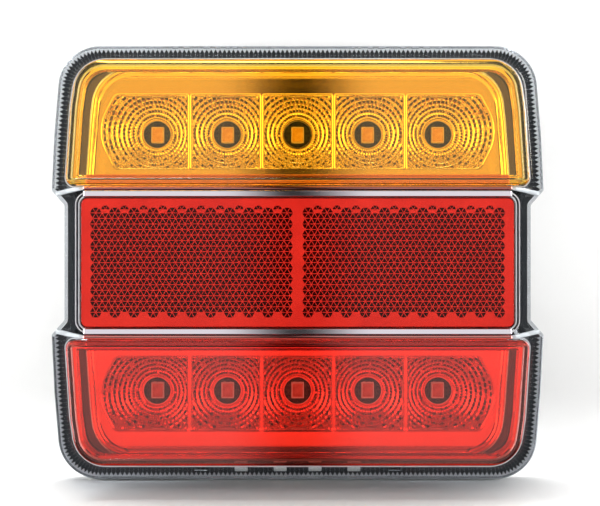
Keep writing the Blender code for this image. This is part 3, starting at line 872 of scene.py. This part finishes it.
def make_plate_windows():
    """The ends of the number plate lamps' light guides, beside the housing's lower rim."""
    rim = node_extent("rear_housing")[0].y
    for i in range(1, 5):
        node = f"number_plate_led_{i}"
        low, high = node_extent(node)
        corners = box_corners(*PLATE_WINDOW, 0.2 * MM, (low.x + high.x) / 2, rim + PLATE_WINDOW_RISE)
        bm = closed_stack(inset_sections(corners, PLATE_WINDOW_PROFILE, 4))
        finish_piece(f"plate_light_window_{i}", bm, ["white"], [node])
    extent = (PLATE_MASK_HALF_WIDTH, *(rim + rise for rise in PLATE_MASK_RISES))
    make_strip(
        "plate_light_mask", extent, PLATE_MASK_DEPTHS, 0.1 * MM, "black", "clear_cover")


# ---- lenses

def make_lens(name, corners, material, node):
    """A dished lens: a stepped rim, a flat front and a skirt down inside the cover."""
    back, front = LENS_LOW.z, LENS_HIGH.z
    inside = LENS_SKIRT + LENS_SKIRT_WALL
    outer = [(LENS_SKIRT, back), (LENS_SKIRT, back + FLANGE), (0.0, back + FLANGE)]
    outer += from_front(LENS_RIM, front)
    inner = [(inside, back)] + from_front(LENS_INSIDE, front, inside)
    bm = dish(inset_sections(corners, outer, 12), inset_sections(corners, inner, 12))
    finish_piece(name, bm, [material], [node])


def hexagon_triangles(centre, side=LATTICE_SIDE, last=6):
    """Corner triples of the first triangles of a hexagon."""
    ring = [centre + side * Vector((math.cos(k * math.pi / 3), math.sin(k * math.pi / 3))) for k in range(7)]
    return [(centre, ring[k], ring[k + 1]) for k in range(last)]


def lattice_triangles():
    """The triangles of one half of the lattice, from its lower outer corner, in (x, height)."""
    step_x, step_y = 1.5 * LATTICE_SIDE, math.sqrt(3) * LATTICE_SIDE
    triangles = []
    for column in range(LATTICE_COLUMNS):
        even = column % 2 == 0
        x = LATTICE_SIDE + column * step_x
        first = step_y / 2 if even else step_y
        count = LATTICE_ROWS if even else LATTICE_ROWS - 1
        for row in range(count):
            triangles += hexagon_triangles(Vector((x, first + row * step_y)))
        if not even:
            top = first + count * step_y - step_y / 2 + TOP_GAP
            triangles += hexagon_triangles(Vector((x, top)), TOP_SIDE, 3)
    return triangles


def add_prism(bm, triangle, depth):
    """One corner of the reflex lattice: a flat border round a three-sided pit."""
    middle = sum(triangle, Vector((0, 0))) / 3
    inner = [middle.lerp(corner, 1 - LATTICE_LINE / LATTICE_INRADIUS) for corner in triangle]
    outer_verts = [bm.verts.new(at(*corner, depth)) for corner in triangle]
    inner_verts = [bm.verts.new(at(*corner, depth)) for corner in inner]
    apex = bm.verts.new(at(*middle, depth - PRISM_PIT))
    for i in range(3):
        j = (i + 1) % 3
        bm.faces.new((outer_verts[i], outer_verts[j], inner_verts[j], inner_verts[i])).material_index = 0
        bm.faces.new((inner_verts[i], inner_verts[j], apex)).material_index = 1


def make_reflex_panel():
    """A red front over a plate moulded with a lattice of corner prisms."""
    back, front = PANEL_LOW.z, PANEL_HIGH.z
    flange = back + FLANGE
    outer = [(PANEL_SKIRT, back), (PANEL_SKIRT, flange), (0.0, flange)] + from_front(PANEL_RIM, front)
    inner = [
        (PANEL_SKIRT_INSIDE, back), (PANEL_SKIRT_INSIDE, flange),
        (PANEL_WALL, flange + 0.15 * MM), (PANEL_WALL, front - 0.6 * MM),
    ]
    bm = dish(inset_sections(panel_corners(), outer, 10), inset_sections(panel_corners(), inner, 10))
    finish_piece("reflex_panel_front", bm, ["reflex_front"], ["reflex_panel"])
    make_reflex_prisms(front - 0.7 * MM)


def make_reflex_prisms(depth):
    """The plate behind the red front, with a lattice of prism pits in both halves."""
    bm = bmesh.new()
    height = LATTICE_ROWS * math.sqrt(3) * LATTICE_SIDE
    for side in (-1, 1):
        for triangle in lattice_triangles():
            shifted = [Vector((side * (p.x + LATTICE_BAR / 2), p.y - height / 2)) for p in triangle]
            add_prism(bm, shifted, depth)
    bmesh.ops.remove_doubles(bm, verts=bm.verts, dist=LATTICE_WELD)
    border = [edge for edge in bm.edges if edge.is_boundary]
    outline = rounded(offset(panel_corners(), -PLATE_INSET), 4)
    front = add_loop(bm, outline, depth)
    border += [bm.edges.new((front[i], front[(i + 1) % len(front)])) for i in range(len(front))]
    bmesh.ops.triangle_fill(bm, use_beauty=True, use_dissolve=False, edges=border, normal=at(0, 0, 1))
    back = add_loop(bm, outline, depth - PLATE_THICKNESS)
    bridge(bm, back, front)
    cap(bm, back, False)
    # the pits take the painted shade
    materials = ["reflex_flat", "reflex_prism"]
    finish_piece("reflex_prism_plate", bm, materials, ["reflex_backing"], LAMP, 20.0)


# ---- reflectors

def cup_centre(index):
    """How far a cup's lamp stands from the lamp row's middle."""
    return (index - (LEDS_IN_ROW - 1) / 2) * LED_PITCH


def cup_corners(index, spread=0.0):
    """A cup's mouth in the upper reflector, grown by spread; an end cup is rounded on its outer side."""
    low, high = TRAY_LOW.y + 3.2 * MM - spread, TRAY_HIGH.y - 5.2 * MM + spread
    centre = cup_centre(index)
    half = (LED_PITCH - RIB) / 2 + spread
    if 0 < index < LEDS_IN_ROW - 1:
        return box_corners(half, (high - low) / 2, 0.3 * MM, centre, (high + low) / 2)
    side = math.copysign(1, centre)
    inner = abs(centre) - half
    outer = TRAY_HIGH.x - 2.25 * MM + spread
    corners = [
        (inner, low, 0.3 * MM),
        (outer - 4.1 * MM, low, 1.5 * MM),
        (outer, LED_HEIGHT, 9.0 * MM),
        (outer - 4.1 * MM, high, 1.5 * MM),
        (inner, high, 0.3 * MM),
    ]
    corners = [(side * x, height, radius) for x, height, radius in corners]
    return corners if side > 0 else corners[::-1]


def reach_to(loop, centre, angle):
    """Distance from centre to a convex loop in a direction."""
    ray = Vector((math.cos(angle), math.sin(angle)))
    for i, start in enumerate(loop):
        edge, offset_start = loop[(i + 1) % len(loop)] - start, start - centre
        turn = ray.cross(edge)
        if abs(turn) < 1e-15:
            continue
        distance = offset_start.cross(edge) / turn
        share = offset_start.cross(ray) / turn
        if distance > 0 and -1e-6 <= share <= 1 + 1e-6:
            return distance
    raise ValueError("the centre is outside the cup")


def ring_round(bm, centre, radii, depths, flip=1):
    """A ring of verts round centre, from the radius and depth at each of equally spaced turns."""
    ring = []
    for k, (radius, depth) in enumerate(zip(radii, depths)):
        turn = math.tau * k / len(radii)
        height = centre.y + radius * math.sin(turn)
        ring.append(bm.verts.new(at(centre.x + radius * math.cos(turn), flip * height, depth)))
    return ring


def facet_height(radius, angle_share, ring_shift):
    """How far a point of a facet stands proud: a tread that falls outward to the foot of a steep riser."""
    u = ((radius - CUP_START) / RING_PITCH) % 1.0
    v = (angle_share + ring_shift) % 1.0
    step = 1 - u / FACET_TREAD if u < FACET_TREAD else (u - FACET_TREAD) / (1 - FACET_TREAD)
    return FACET_BULGE * step * math.sqrt(max(0.0, 1 - (2 * v - 1) ** 4))


def shade_risers(faces, ring, flip):
    """Paints shade on the middle of most facets' risers with the dark finish; fewer of them low in the cup.
    """
    for k, face in enumerate(faces):
        facet = k // SAMPLES_PER_FACET
        share = (k / SAMPLES_PER_FACET + 0.5 * (ring % 2)) % 1.0
        low_down = flip * math.sin(math.tau * k / len(faces)) < LOW_IN_CUP
        skipped = (7 * facet + 3 * ring) % 6 == 0 or (low_down and (facet + ring) % 2)
        if share >= 0.25 and not skipped:
            face.material_index = 1


def lip_rings(count):
    """(radii, depths) of the lip round a lamp's hole, from the tray's back forward."""
    profile = (
        (LED_HOLE_RADIUS, TRAY_LOW.z),
        (LED_HOLE_RADIUS, CUP_FLOOR + 0.2 * MM),
        (LED_HOLE_RADIUS + 0.1 * MM, CUP_FLOOR + 0.45 * MM),
        (LED_HOLE_RADIUS + 0.3 * MM, CUP_FLOOR + 0.45 * MM),
        (CUP_START, CUP_FLOOR + 0.15 * MM),
    )
    return [([radius] * count, [depth] * count) for radius, depth in profile]


def facet_rings(reaches):
    """(radii, depths) of a cup's facets; a ring that passes the mouth stops there, and lies flat."""
    steepness = (CUP_EDGE - RIB_DROP - FACET_BULGE - CUP_FLOOR) / max(reaches) ** 2
    rings = []
    for ring in range(math.ceil((max(reaches) - CUP_START) / RING_PITCH)):
        shift = 0.5 * (ring % 2)
        for sample in range(1, SAMPLES_PER_RING + 1):
            wanted = CUP_START + RING_PITCH * (ring + min(sample / SAMPLES_PER_RING, LAST_SAMPLE))
            radii = [min(wanted, reach) for reach in reaches]
            depths = []
            for k, radius in enumerate(radii):
                clipped = radius >= reaches[k]
                bulge = 0.0 if clipped else facet_height(radius, k / SAMPLES_PER_FACET, shift)
                depths.append(CUP_FLOOR + steepness * radius ** 2 + bulge)
            rings.append((radii, depths))
    return rings


def rib_rings(reaches, crests):
    """(radii, depths) from a cup's mouth to the crest of the rib round it."""
    rings = []
    for share in RIB_SHARES:
        radii = [reach + (crest - reach) * share for reach, crest in zip(reaches, crests)]
        depth = CUP_EDGE - RIB_DROP * max(0.0, 1 - share) ** 2
        rings.append((radii, [depth] * len(radii)))
    return rings


def add_cup(bm, index, flip):
    """The bowl round one lamp; returns its mouth ring and its rear hole ring."""
    centre = Vector((cup_centre(index), LED_HEIGHT))
    count = FACETS * SAMPLES_PER_FACET
    turns = [math.tau * k / count for k in range(count)]
    mouth = rounded(cup_corners(index), 6)
    crest = rounded(cup_corners(index, (RIB - RIB_CREST) / 2), 6)
    reaches = [reach_to(mouth, centre, turn) for turn in turns]
    crests = [reach_to(crest, centre, turn) for turn in turns]
    lip, facets = lip_rings(count), facet_rings(reaches)
    profile = lip + facets + rib_rings(reaches, crests)
    rings = [ring_round(bm, centre, radii, depths, flip) for radii, depths in profile]
    for place, (lower, upper) in enumerate(zip(rings, rings[1:])):
        faces = bridge(bm, lower, upper)
        ring, sample = divmod(place - len(lip), SAMPLES_PER_RING)
        if 0 <= ring < len(facets) // SAMPLES_PER_RING and sample in (1, 2):
            shade_risers(faces, ring, flip)
    return rings[-1], rings[0]


def fill_between(bm, rings):
    edges = []
    for ring in rings:
        for i in range(len(ring)):
            a, b = ring[i], ring[(i + 1) % len(ring)]
            edges.append(bm.edges.get((a, b)) or bm.edges.new((a, b)))
    bmesh.ops.triangle_fill(bm, use_beauty=True, use_dissolve=False, edges=edges)


def make_reflector(name, node, flip):
    """A metallised tray, with a rounded rim and five faceted cups; flip is -1 for the lower one."""
    corners = tray_corners() if flip > 0 else turned_over(tray_corners())
    profile = [(0.0, TRAY_LOW.z)] + from_front(TRAY_RIM, TRAY_HIGH.z) + [(1.7 * MM, CUP_EDGE)]
    bm = bmesh.new()
    rings = stack(bm, inset_sections(corners, profile, 12))
    cups = [add_cup(bm, index, flip) for index in range(LEDS_IN_ROW)]
    fill_between(bm, [rings[-1]] + [mouth for mouth, _ in cups])
    fill_between(bm, [rings[0]] + [hole for _, hole in cups])
    # the second slot is the painted shade on the risers
    finish_piece(name, bm, ["metallised", "riser"], [node])


# ---- lamps

def led_mesh(window_material):
    """A surface-mount lamp centred on the origin, drawn face on: body, window and end contacts."""
    half_width, half_height, half_depth = LED_HALF
    corners = box_corners(half_width, half_height, LED_CORNER)
    body = [(0.08 * MM, -half_depth), (0.0, -half_depth + 0.1 * MM)] + from_front(LED_RIM, half_depth)
    bm = bmesh.new()
    rings = stack(bm, inset_sections(corners, body, 4))
    cap(bm, rings[0], False)
    inner = stack(bm, inset_sections(corners, from_front(LED_WINDOW, half_depth), 4), 1)
    cap(bm, inner[-1], True, 1)
    for side in (-1, 1):
        contact = box_corners(*CONTACT_HALF, 0.05 * MM, 0.0, side * (half_height - 0.1 * MM))
        outline = rounded(contact, 1)
        pads = stack(bm, [(outline, -half_depth), (outline, -half_depth + CONTACT_HEIGHT)], 2)
        cap(bm, pads[0], False, 2)
        cap(bm, pads[-1], True, 2)
    bmesh.ops.remove_doubles(bm, verts=bm.verts, dist=WELD)
    bmesh.ops.recalc_face_normals(bm, faces=bm.faces)
    mesh = mesh_of("led_package", bm)
    for key in ("led_body", window_material, "solder"):
        mesh.materials.append(MATERIALS[key])
    smooth_below(mesh, 30.0)
    return mesh


def make_leds():
    plain, tinted = led_mesh("led_window"), led_mesh("led_window_red")
    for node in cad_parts:
        if "_led_" not in node:
            continue
        low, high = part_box(node)
        piece = new_object(node + "_package", tinted if node.startswith("red") else plain)
        piece.location = (Vector(low) + Vector(high)) / 2
        if node.startswith("number_plate"):
            piece.rotation_euler = (math.pi / 2, 0, 0)
        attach(piece, LAMP)
        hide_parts(node)


# ---- fixings

def round_node(node):
    """The axis of a turned node, as (x, height), and its lowest and highest corners."""
    low, high = node_extent(node)
    return Vector(((low.x + high.x) / 2, (low.y + high.y) / 2)), low, high


def turned(rows, sides, centre):
    """Rings from (radius, depth) rows, bridged in turn; a radius may be a function of the turn."""
    bm = bmesh.new()
    turns = [math.tau * k / sides for k in range(sides)]
    rings = []
    for radius, depth in rows:
        radii = [radius(turn) if callable(radius) else radius for turn in turns]
        rings.append(ring_round(bm, centre, radii, [depth] * sides))
    for lower, upper in zip(rings, rings[1:]):
        bridge(bm, lower, upper)
    return bm, rings


def finish_fixing(name, bm, node, body=LAMP, smooth_angle=35.0):
    finish_piece(name, bm, ["zinc"], [node], body, smooth_angle)


def threaded(depth, taper):
    """The radius of the stud's thread at a depth, as a function of the turn; no more than taper."""
    def radius_at(turn):
        phase = (depth / THREAD_PITCH - turn / math.tau) % 1.0
        valley = abs(2 * phase - 1)
        return min(taper, STUD_CREST - THREAD_DEPTH * min(1.0, max(0.0, 1.25 * valley - 0.12)))
    return radius_at


def make_stud(side):
    """A stud: a thread from its tip to near the housing's back, a plain neck and a round head."""
    node = f"fixing_stud_{side}"
    centre, low, high = round_node(node)
    head = (high.x - low.x) / 2
    neck = high.z - STUD_HEAD
    tip = STUD_CREST - STUD_CHAMFER
    count = round((THREAD_END - low.z) / THREAD_PITCH * STEPS_PER_THREAD)
    rows = [(STUD_CENTRE, low.z), (tip, low.z)]
    for k in range(1, count + 1):
        depth = low.z + (THREAD_END - low.z) * k / count
        rows.append((threaded(depth, min(STUD_CREST, tip + (depth - low.z))), depth))
    rows += [
        (STUD_CREST, THREAD_END + 0.2 * MM), (STUD_CREST, neck),
        (head - STUD_EDGE, neck), (head, neck + STUD_EDGE),
        (head, high.z - STUD_EDGE), (head - STUD_EDGE, high.z), (STUD_CENTRE, high.z),
    ]
    bm, rings = turned(rows, 48, centre)
    cap(bm, rings[0], False)
    cap(bm, rings[-1], True)
    finish_fixing(f"threaded_stud_{side}", bm, node)


def make_nut(side):
    """A hexagon nut with chamfered ends; its corners point along x, as the CAD nut's do."""
    node = f"fixing_nut_{side}"
    centre, low, high = round_node(node)
    apothem = (high.y - low.y) / 2

    def outside(rise):
        chamfer = apothem * 1.01 + rise / math.tan(NUT_CHAMFER)
        return lambda turn: min(apothem / math.cos((turn % (math.pi / 3)) - math.pi / 6), chamfer)

    across, deep = NUT_BORE_BEVEL
    rows = [(NUT_BORE, low.z + deep), (NUT_BORE + across, low.z)]
    rows += [(outside(rise), low.z + rise) for rise in NUT_RISES]
    rows += [(outside(rise), high.z - rise) for rise in reversed(NUT_RISES)]
    rows += [(NUT_BORE + across, high.z), (NUT_BORE, high.z - deep)]
    bm, rings = turned(rows, 96, centre)
    bridge(bm, rings[-1], rings[0])
    finish_fixing(f"hex_nut_{side}", bm, node, f"nut_{side}", 25.0)


def washer_section(outer, low, high, edge):
    """(radius, depth) round a washer's section, with bevelled edges."""
    return [
        (WASHER_BORE, low + edge), (WASHER_BORE + edge, low), (outer - edge, low), (outer, low + edge),
        (outer, high - edge), (outer - edge, high), (WASHER_BORE + edge, high), (WASHER_BORE, high - edge),
    ]


def make_flat_washer(side):
    node = f"flat_washer_{side}"
    centre, low, high = round_node(node)
    bm, rings = turned(washer_section((high.x - low.x) / 2, low.z, high.z, 0.12 * MM), 64, centre)
    bridge(bm, rings[-1], rings[0])
    finish_fixing(f"plain_washer_{side}", bm, node, f"washers_{side}")


def make_spring_washer(side):
    """A split ring whose two ends stand a little apart."""
    node = f"spring_washer_{side}"
    centre, low, high = round_node(node)
    thickness = (high.z - low.z) * SPLIT_SECTION
    lift = (high.z - low.z) - thickness
    bm = bmesh.new()
    rings = []
    for k in range(SPLIT_STEPS + 1):
        turn = SPLIT / 2 + (math.tau - SPLIT) * k / SPLIT_STEPS
        across = Vector((math.cos(turn), math.sin(turn)))
        base = low.z + lift * k / SPLIT_STEPS
        section = washer_section((high.x - low.x) / 2, base, base + thickness, 0.1 * MM)
        rings.append([bm.verts.new(at(*(centre + radius * across), depth)) for radius, depth in section])
    for lower, upper in zip(rings, rings[1:]):
        bridge(bm, lower, upper)
    cap(bm, rings[0], False)
    cap(bm, rings[-1], True)
    finish_fixing(f"split_washer_{side}", bm, node, f"washers_{side}")


# ---- carried-over CAD nodes

# the start of a node's name: its material, and the width of its softened edges in mm
CAD_FINISHES = {
    "rear_housing": ("black", 0.2),
    "centre_support_frame": ("black", 0.2),
    "breather_vent": ("black", 0.15),
    "main_circuit_board": ("board", None),
    "number_plate_board": ("board", None),
    "terminal_block": ("white", 0.3),
    "smoothing_capacitor": ("chip", 0.2),
    "cable_grommet": ("rubber", 0.15),
    "ballast_resistor": ("chip", 0.15),
    "protection_diode": ("chip", 0.15),
    "board_screw": ("zinc", None),
}


def dress_cad_nodes():
    for node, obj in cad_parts.items():
        key = next((start for start in CAD_FINISHES if node.startswith(start)), None)
        if key is None:
            continue
        material, softened = CAD_FINISHES[key]
        if not obj.data.materials:
            obj.data.materials.append(None)
        for slot in obj.material_slots:
            slot.link = "OBJECT"
            slot.material = MATERIALS[material]
        if softened:
            weld = obj.modifiers.new("weld", "WELD")
            weld.merge_threshold = WELD
            soften(obj, softened * MM, 40.0)


# ---- studio

def stage_material(name):
    """White paper, lit evenly far from the lamp and up the wall."""
    shader = new_material(name, (0.85, 0.85, 0.845), 0.7)
    tree = shader.id_data
    vary_roughness(shader, 4.0, 0.65, 0.75)
    position = add_node(tree, "NewGeometry").outputs["Position"]
    length = add_node(tree, "VectorMath", {0: position}, operation="LENGTH").outputs["Value"]
    height = add_node(tree, "SeparateXYZ", {0: position}).outputs["Z"]
    heights = tuple(cad_low.z + rise for rise in GLOW_UP)
    away = ramp(tree, length, GLOW_AWAY, (0.0, GLOW_AWAY_LEVEL))
    up = ramp(tree, height, heights, (0.0, GLOW_UP_LEVEL))
    fill(shader, {"Emission Strength": math_node(tree, "MAXIMUM", away, up), "Emission Color": (1, 1, 1, 1)})
    return bpy.data.materials[name]


def one_sided(made):
    """Lets the sweep be seen through from behind, so that it doesn't hide the lamp's back."""
    tree = made.node_tree
    behind = add_node(tree, "NewGeometry").outputs["Backfacing"]
    mix_shaders(tree, behind, tree.nodes["Principled BSDF"], add_node(tree, "BsdfTransparent"))
    return made


def sheet_object(name, profile, half_width, material):
    """A sheet swept along x from (y, z) points; it faces the side that its normals point to."""
    bm = bmesh.new()
    left = [bm.verts.new((-half_width, y, z)) for y, z in profile]
    right = [bm.verts.new((half_width, y, z)) for y, z in profile]
    for i in range(len(profile) - 1):
        bm.faces.new((left[i], right[i], right[i + 1], left[i + 1]))
    mesh = mesh_of(name, bm)
    mesh.materials.append(material)
    mesh.shade_smooth()
    obj = new_object(name, mesh)
    # the far paper would show as a veil in the lamp's steep walls
    obj.visible_glossy = False
    return obj


def make_stage():
    floor = cad_low.z - FLOOR_DROP
    wall = cad_high.y + WALL_BEHIND
    turns = [math.pi / 2 * k / SWEEP_STEPS for k in range(SWEEP_STEPS + 1)]
    y, z = wall - SWEEP_RADIUS, floor + SWEEP_RADIUS
    arc = [(y + SWEEP_RADIUS * math.sin(turn), z - SWEEP_RADIUS * math.cos(turn)) for turn in turns]
    profile = [(-SWEEP_REACH, floor)] + arc + [(wall, floor + SWEEP_REACH)]
    sweep = sheet_object("studio_sweep", profile, SWEEP_REACH, one_sided(stage_material("studio_white")))
    sweep.visible_shadow = False
    rear = [(y, floor - REAR_FLOOR_DROP), (SWEEP_REACH, floor - REAR_FLOOR_DROP)]
    sheet_object("studio_rear_floor", rear, SWEEP_REACH, stage_material("studio_white_rear"))


def make_lights():
    for name, place, size, power in LIGHTS:
        data = bpy.data.lights.new(name, "AREA")
        data.shape = "RECTANGLE"
        data.size, data.size_y = size
        data.energy = power
        light = new_object(name, data)
        light.location = place
        light.rotation_euler = (-Vector(place)).to_track_quat("-Z", "Y").to_euler()


def make_world():
    """A pale studio whose front, sides, top and floor are bright, with dark between them."""
    world = bpy.data.worlds.new("studio")
    world.use_nodes = True
    tree = world.node_tree
    place = add_node(tree, "TexCoord").outputs["Generated"]
    x, y, up = add_node(tree, "SeparateXYZ", {0: place}).outputs
    down = math_node(tree, "MULTIPLY", up, -1.0)
    forward = math_node(tree, "MULTIPLY", y, -1.0)
    across = math_node(tree, "ABSOLUTE", x)
    bright = WORLD_DARK
    for value, places, level in (
        (forward, (0.86, 0.96), WORLD_FRONT),
        (across, (0.5, 0.72), WORLD_SIDES),
        (up, (0.42, 0.62), WORLD_TOP),
        (down, (0.72, 0.9), WORLD_LOW),
    ):
        bright = math_node(tree, "MAXIMUM", bright, ramp(tree, value, places, (0.0, level)))
    gap = ramp(tree, across, (0.004, 0.055), (WORLD_GAP, 1.0))
    rear = ramp(tree, forward, (-0.1, 0.15), (WORLD_BEHIND, 1.0))
    level = math_node(tree, "MULTIPLY", math_node(tree, "MULTIPLY", bright, gap), rear)
    seen = add_node(tree, "LightPath").outputs["Is Camera Ray"]
    backdrop = math_node(tree, "MULTIPLY", seen, BACKDROP_SEEN)
    strength = math_node(tree, "MAXIMUM", level, backdrop)
    fill(tree.nodes["Background"], {"Strength": strength, "Color": (1, 1, 1, 1)})
    world.cycles_visibility.diffuse = False
    bpy.context.scene.world = world


def make_camera():
    data = bpy.data.cameras.new("camera")
    data.sensor_width = SENSOR
    data.lens = SENSOR * FOCAL_PIXELS / FRAME_WIDTH
    data.shift_x, data.shift_y = CAMERA_SHIFT
    data.clip_start = CAMERA_NEAR
    camera = new_object("camera", data)
    camera.location = (0, -CAMERA_DISTANCE, 0)
    camera.rotation_euler = (math.pi / 2, 0, 0)
    bpy.context.scene.camera = camera
    bpy.context.scene.view_settings.view_transform = "Standard"


amber_outline = lens_corners()
red_outline = turned_over(amber_outline)
make_camera()
make_clear_cover()
make_serration("cover_serration_upper", 1, "frosted")
# painted shade: the lower teeth take the darker grey edge finish, so the lower part of the border reads
# darker than the upper
make_serration("cover_serration_lower", -1, "bead")
make_knurl("cover_knurl_upper", 1, KNURL_HEIGHT)
make_knurl("cover_knurl_lower", -1, 2.5 * KNURL_HEIGHT)
make_rim_seal()
make_step_edge("cover_edge_upper_left", -1, 1)
make_step_edge("cover_edge_upper_right", 1, 1)
make_step_edge("cover_edge_lower_left", -1, -1)
make_step_edge("cover_edge_lower_right", 1, -1)
make_crossbars()
make_ledges()
make_plate_windows()
make_bead("amber_window_bead", amber_outline, 0.2 * MM, 0.24 * MM)
make_bead("red_window_bead", red_outline, 0.2 * MM, 0.24 * MM)
make_bead("panel_inner_bead", panel_corners(), 0.25 * MM, 0.3 * MM)
make_bead("panel_outer_bead", panel_corners(), 0.95 * MM, 0.25 * MM)
make_lens("amber_lens_body", amber_outline, "amber", "amber_lens")
make_lens("red_lens_body", red_outline, "red", "red_lens")
make_reflex_panel()
make_reflector("upper_reflector", "reflector_tray_upper", 1)
make_reflector("lower_reflector", "reflector_tray_lower", -1)
make_leds()
for side in ("left", "right"):
    make_stud(side)
    make_nut(side)
    make_flat_washer(side)
    make_spring_washer(side)
for piece in ("red_lens_body", "reflex_panel_front", "reflex_prism_plate", "lower_reflector"):
    # keeps the white paper in front of the lamp free of a red cast
    bpy.data.objects[piece].visible_diffuse = False
dress_cad_nodes()
make_stage()
make_lights()
make_world()
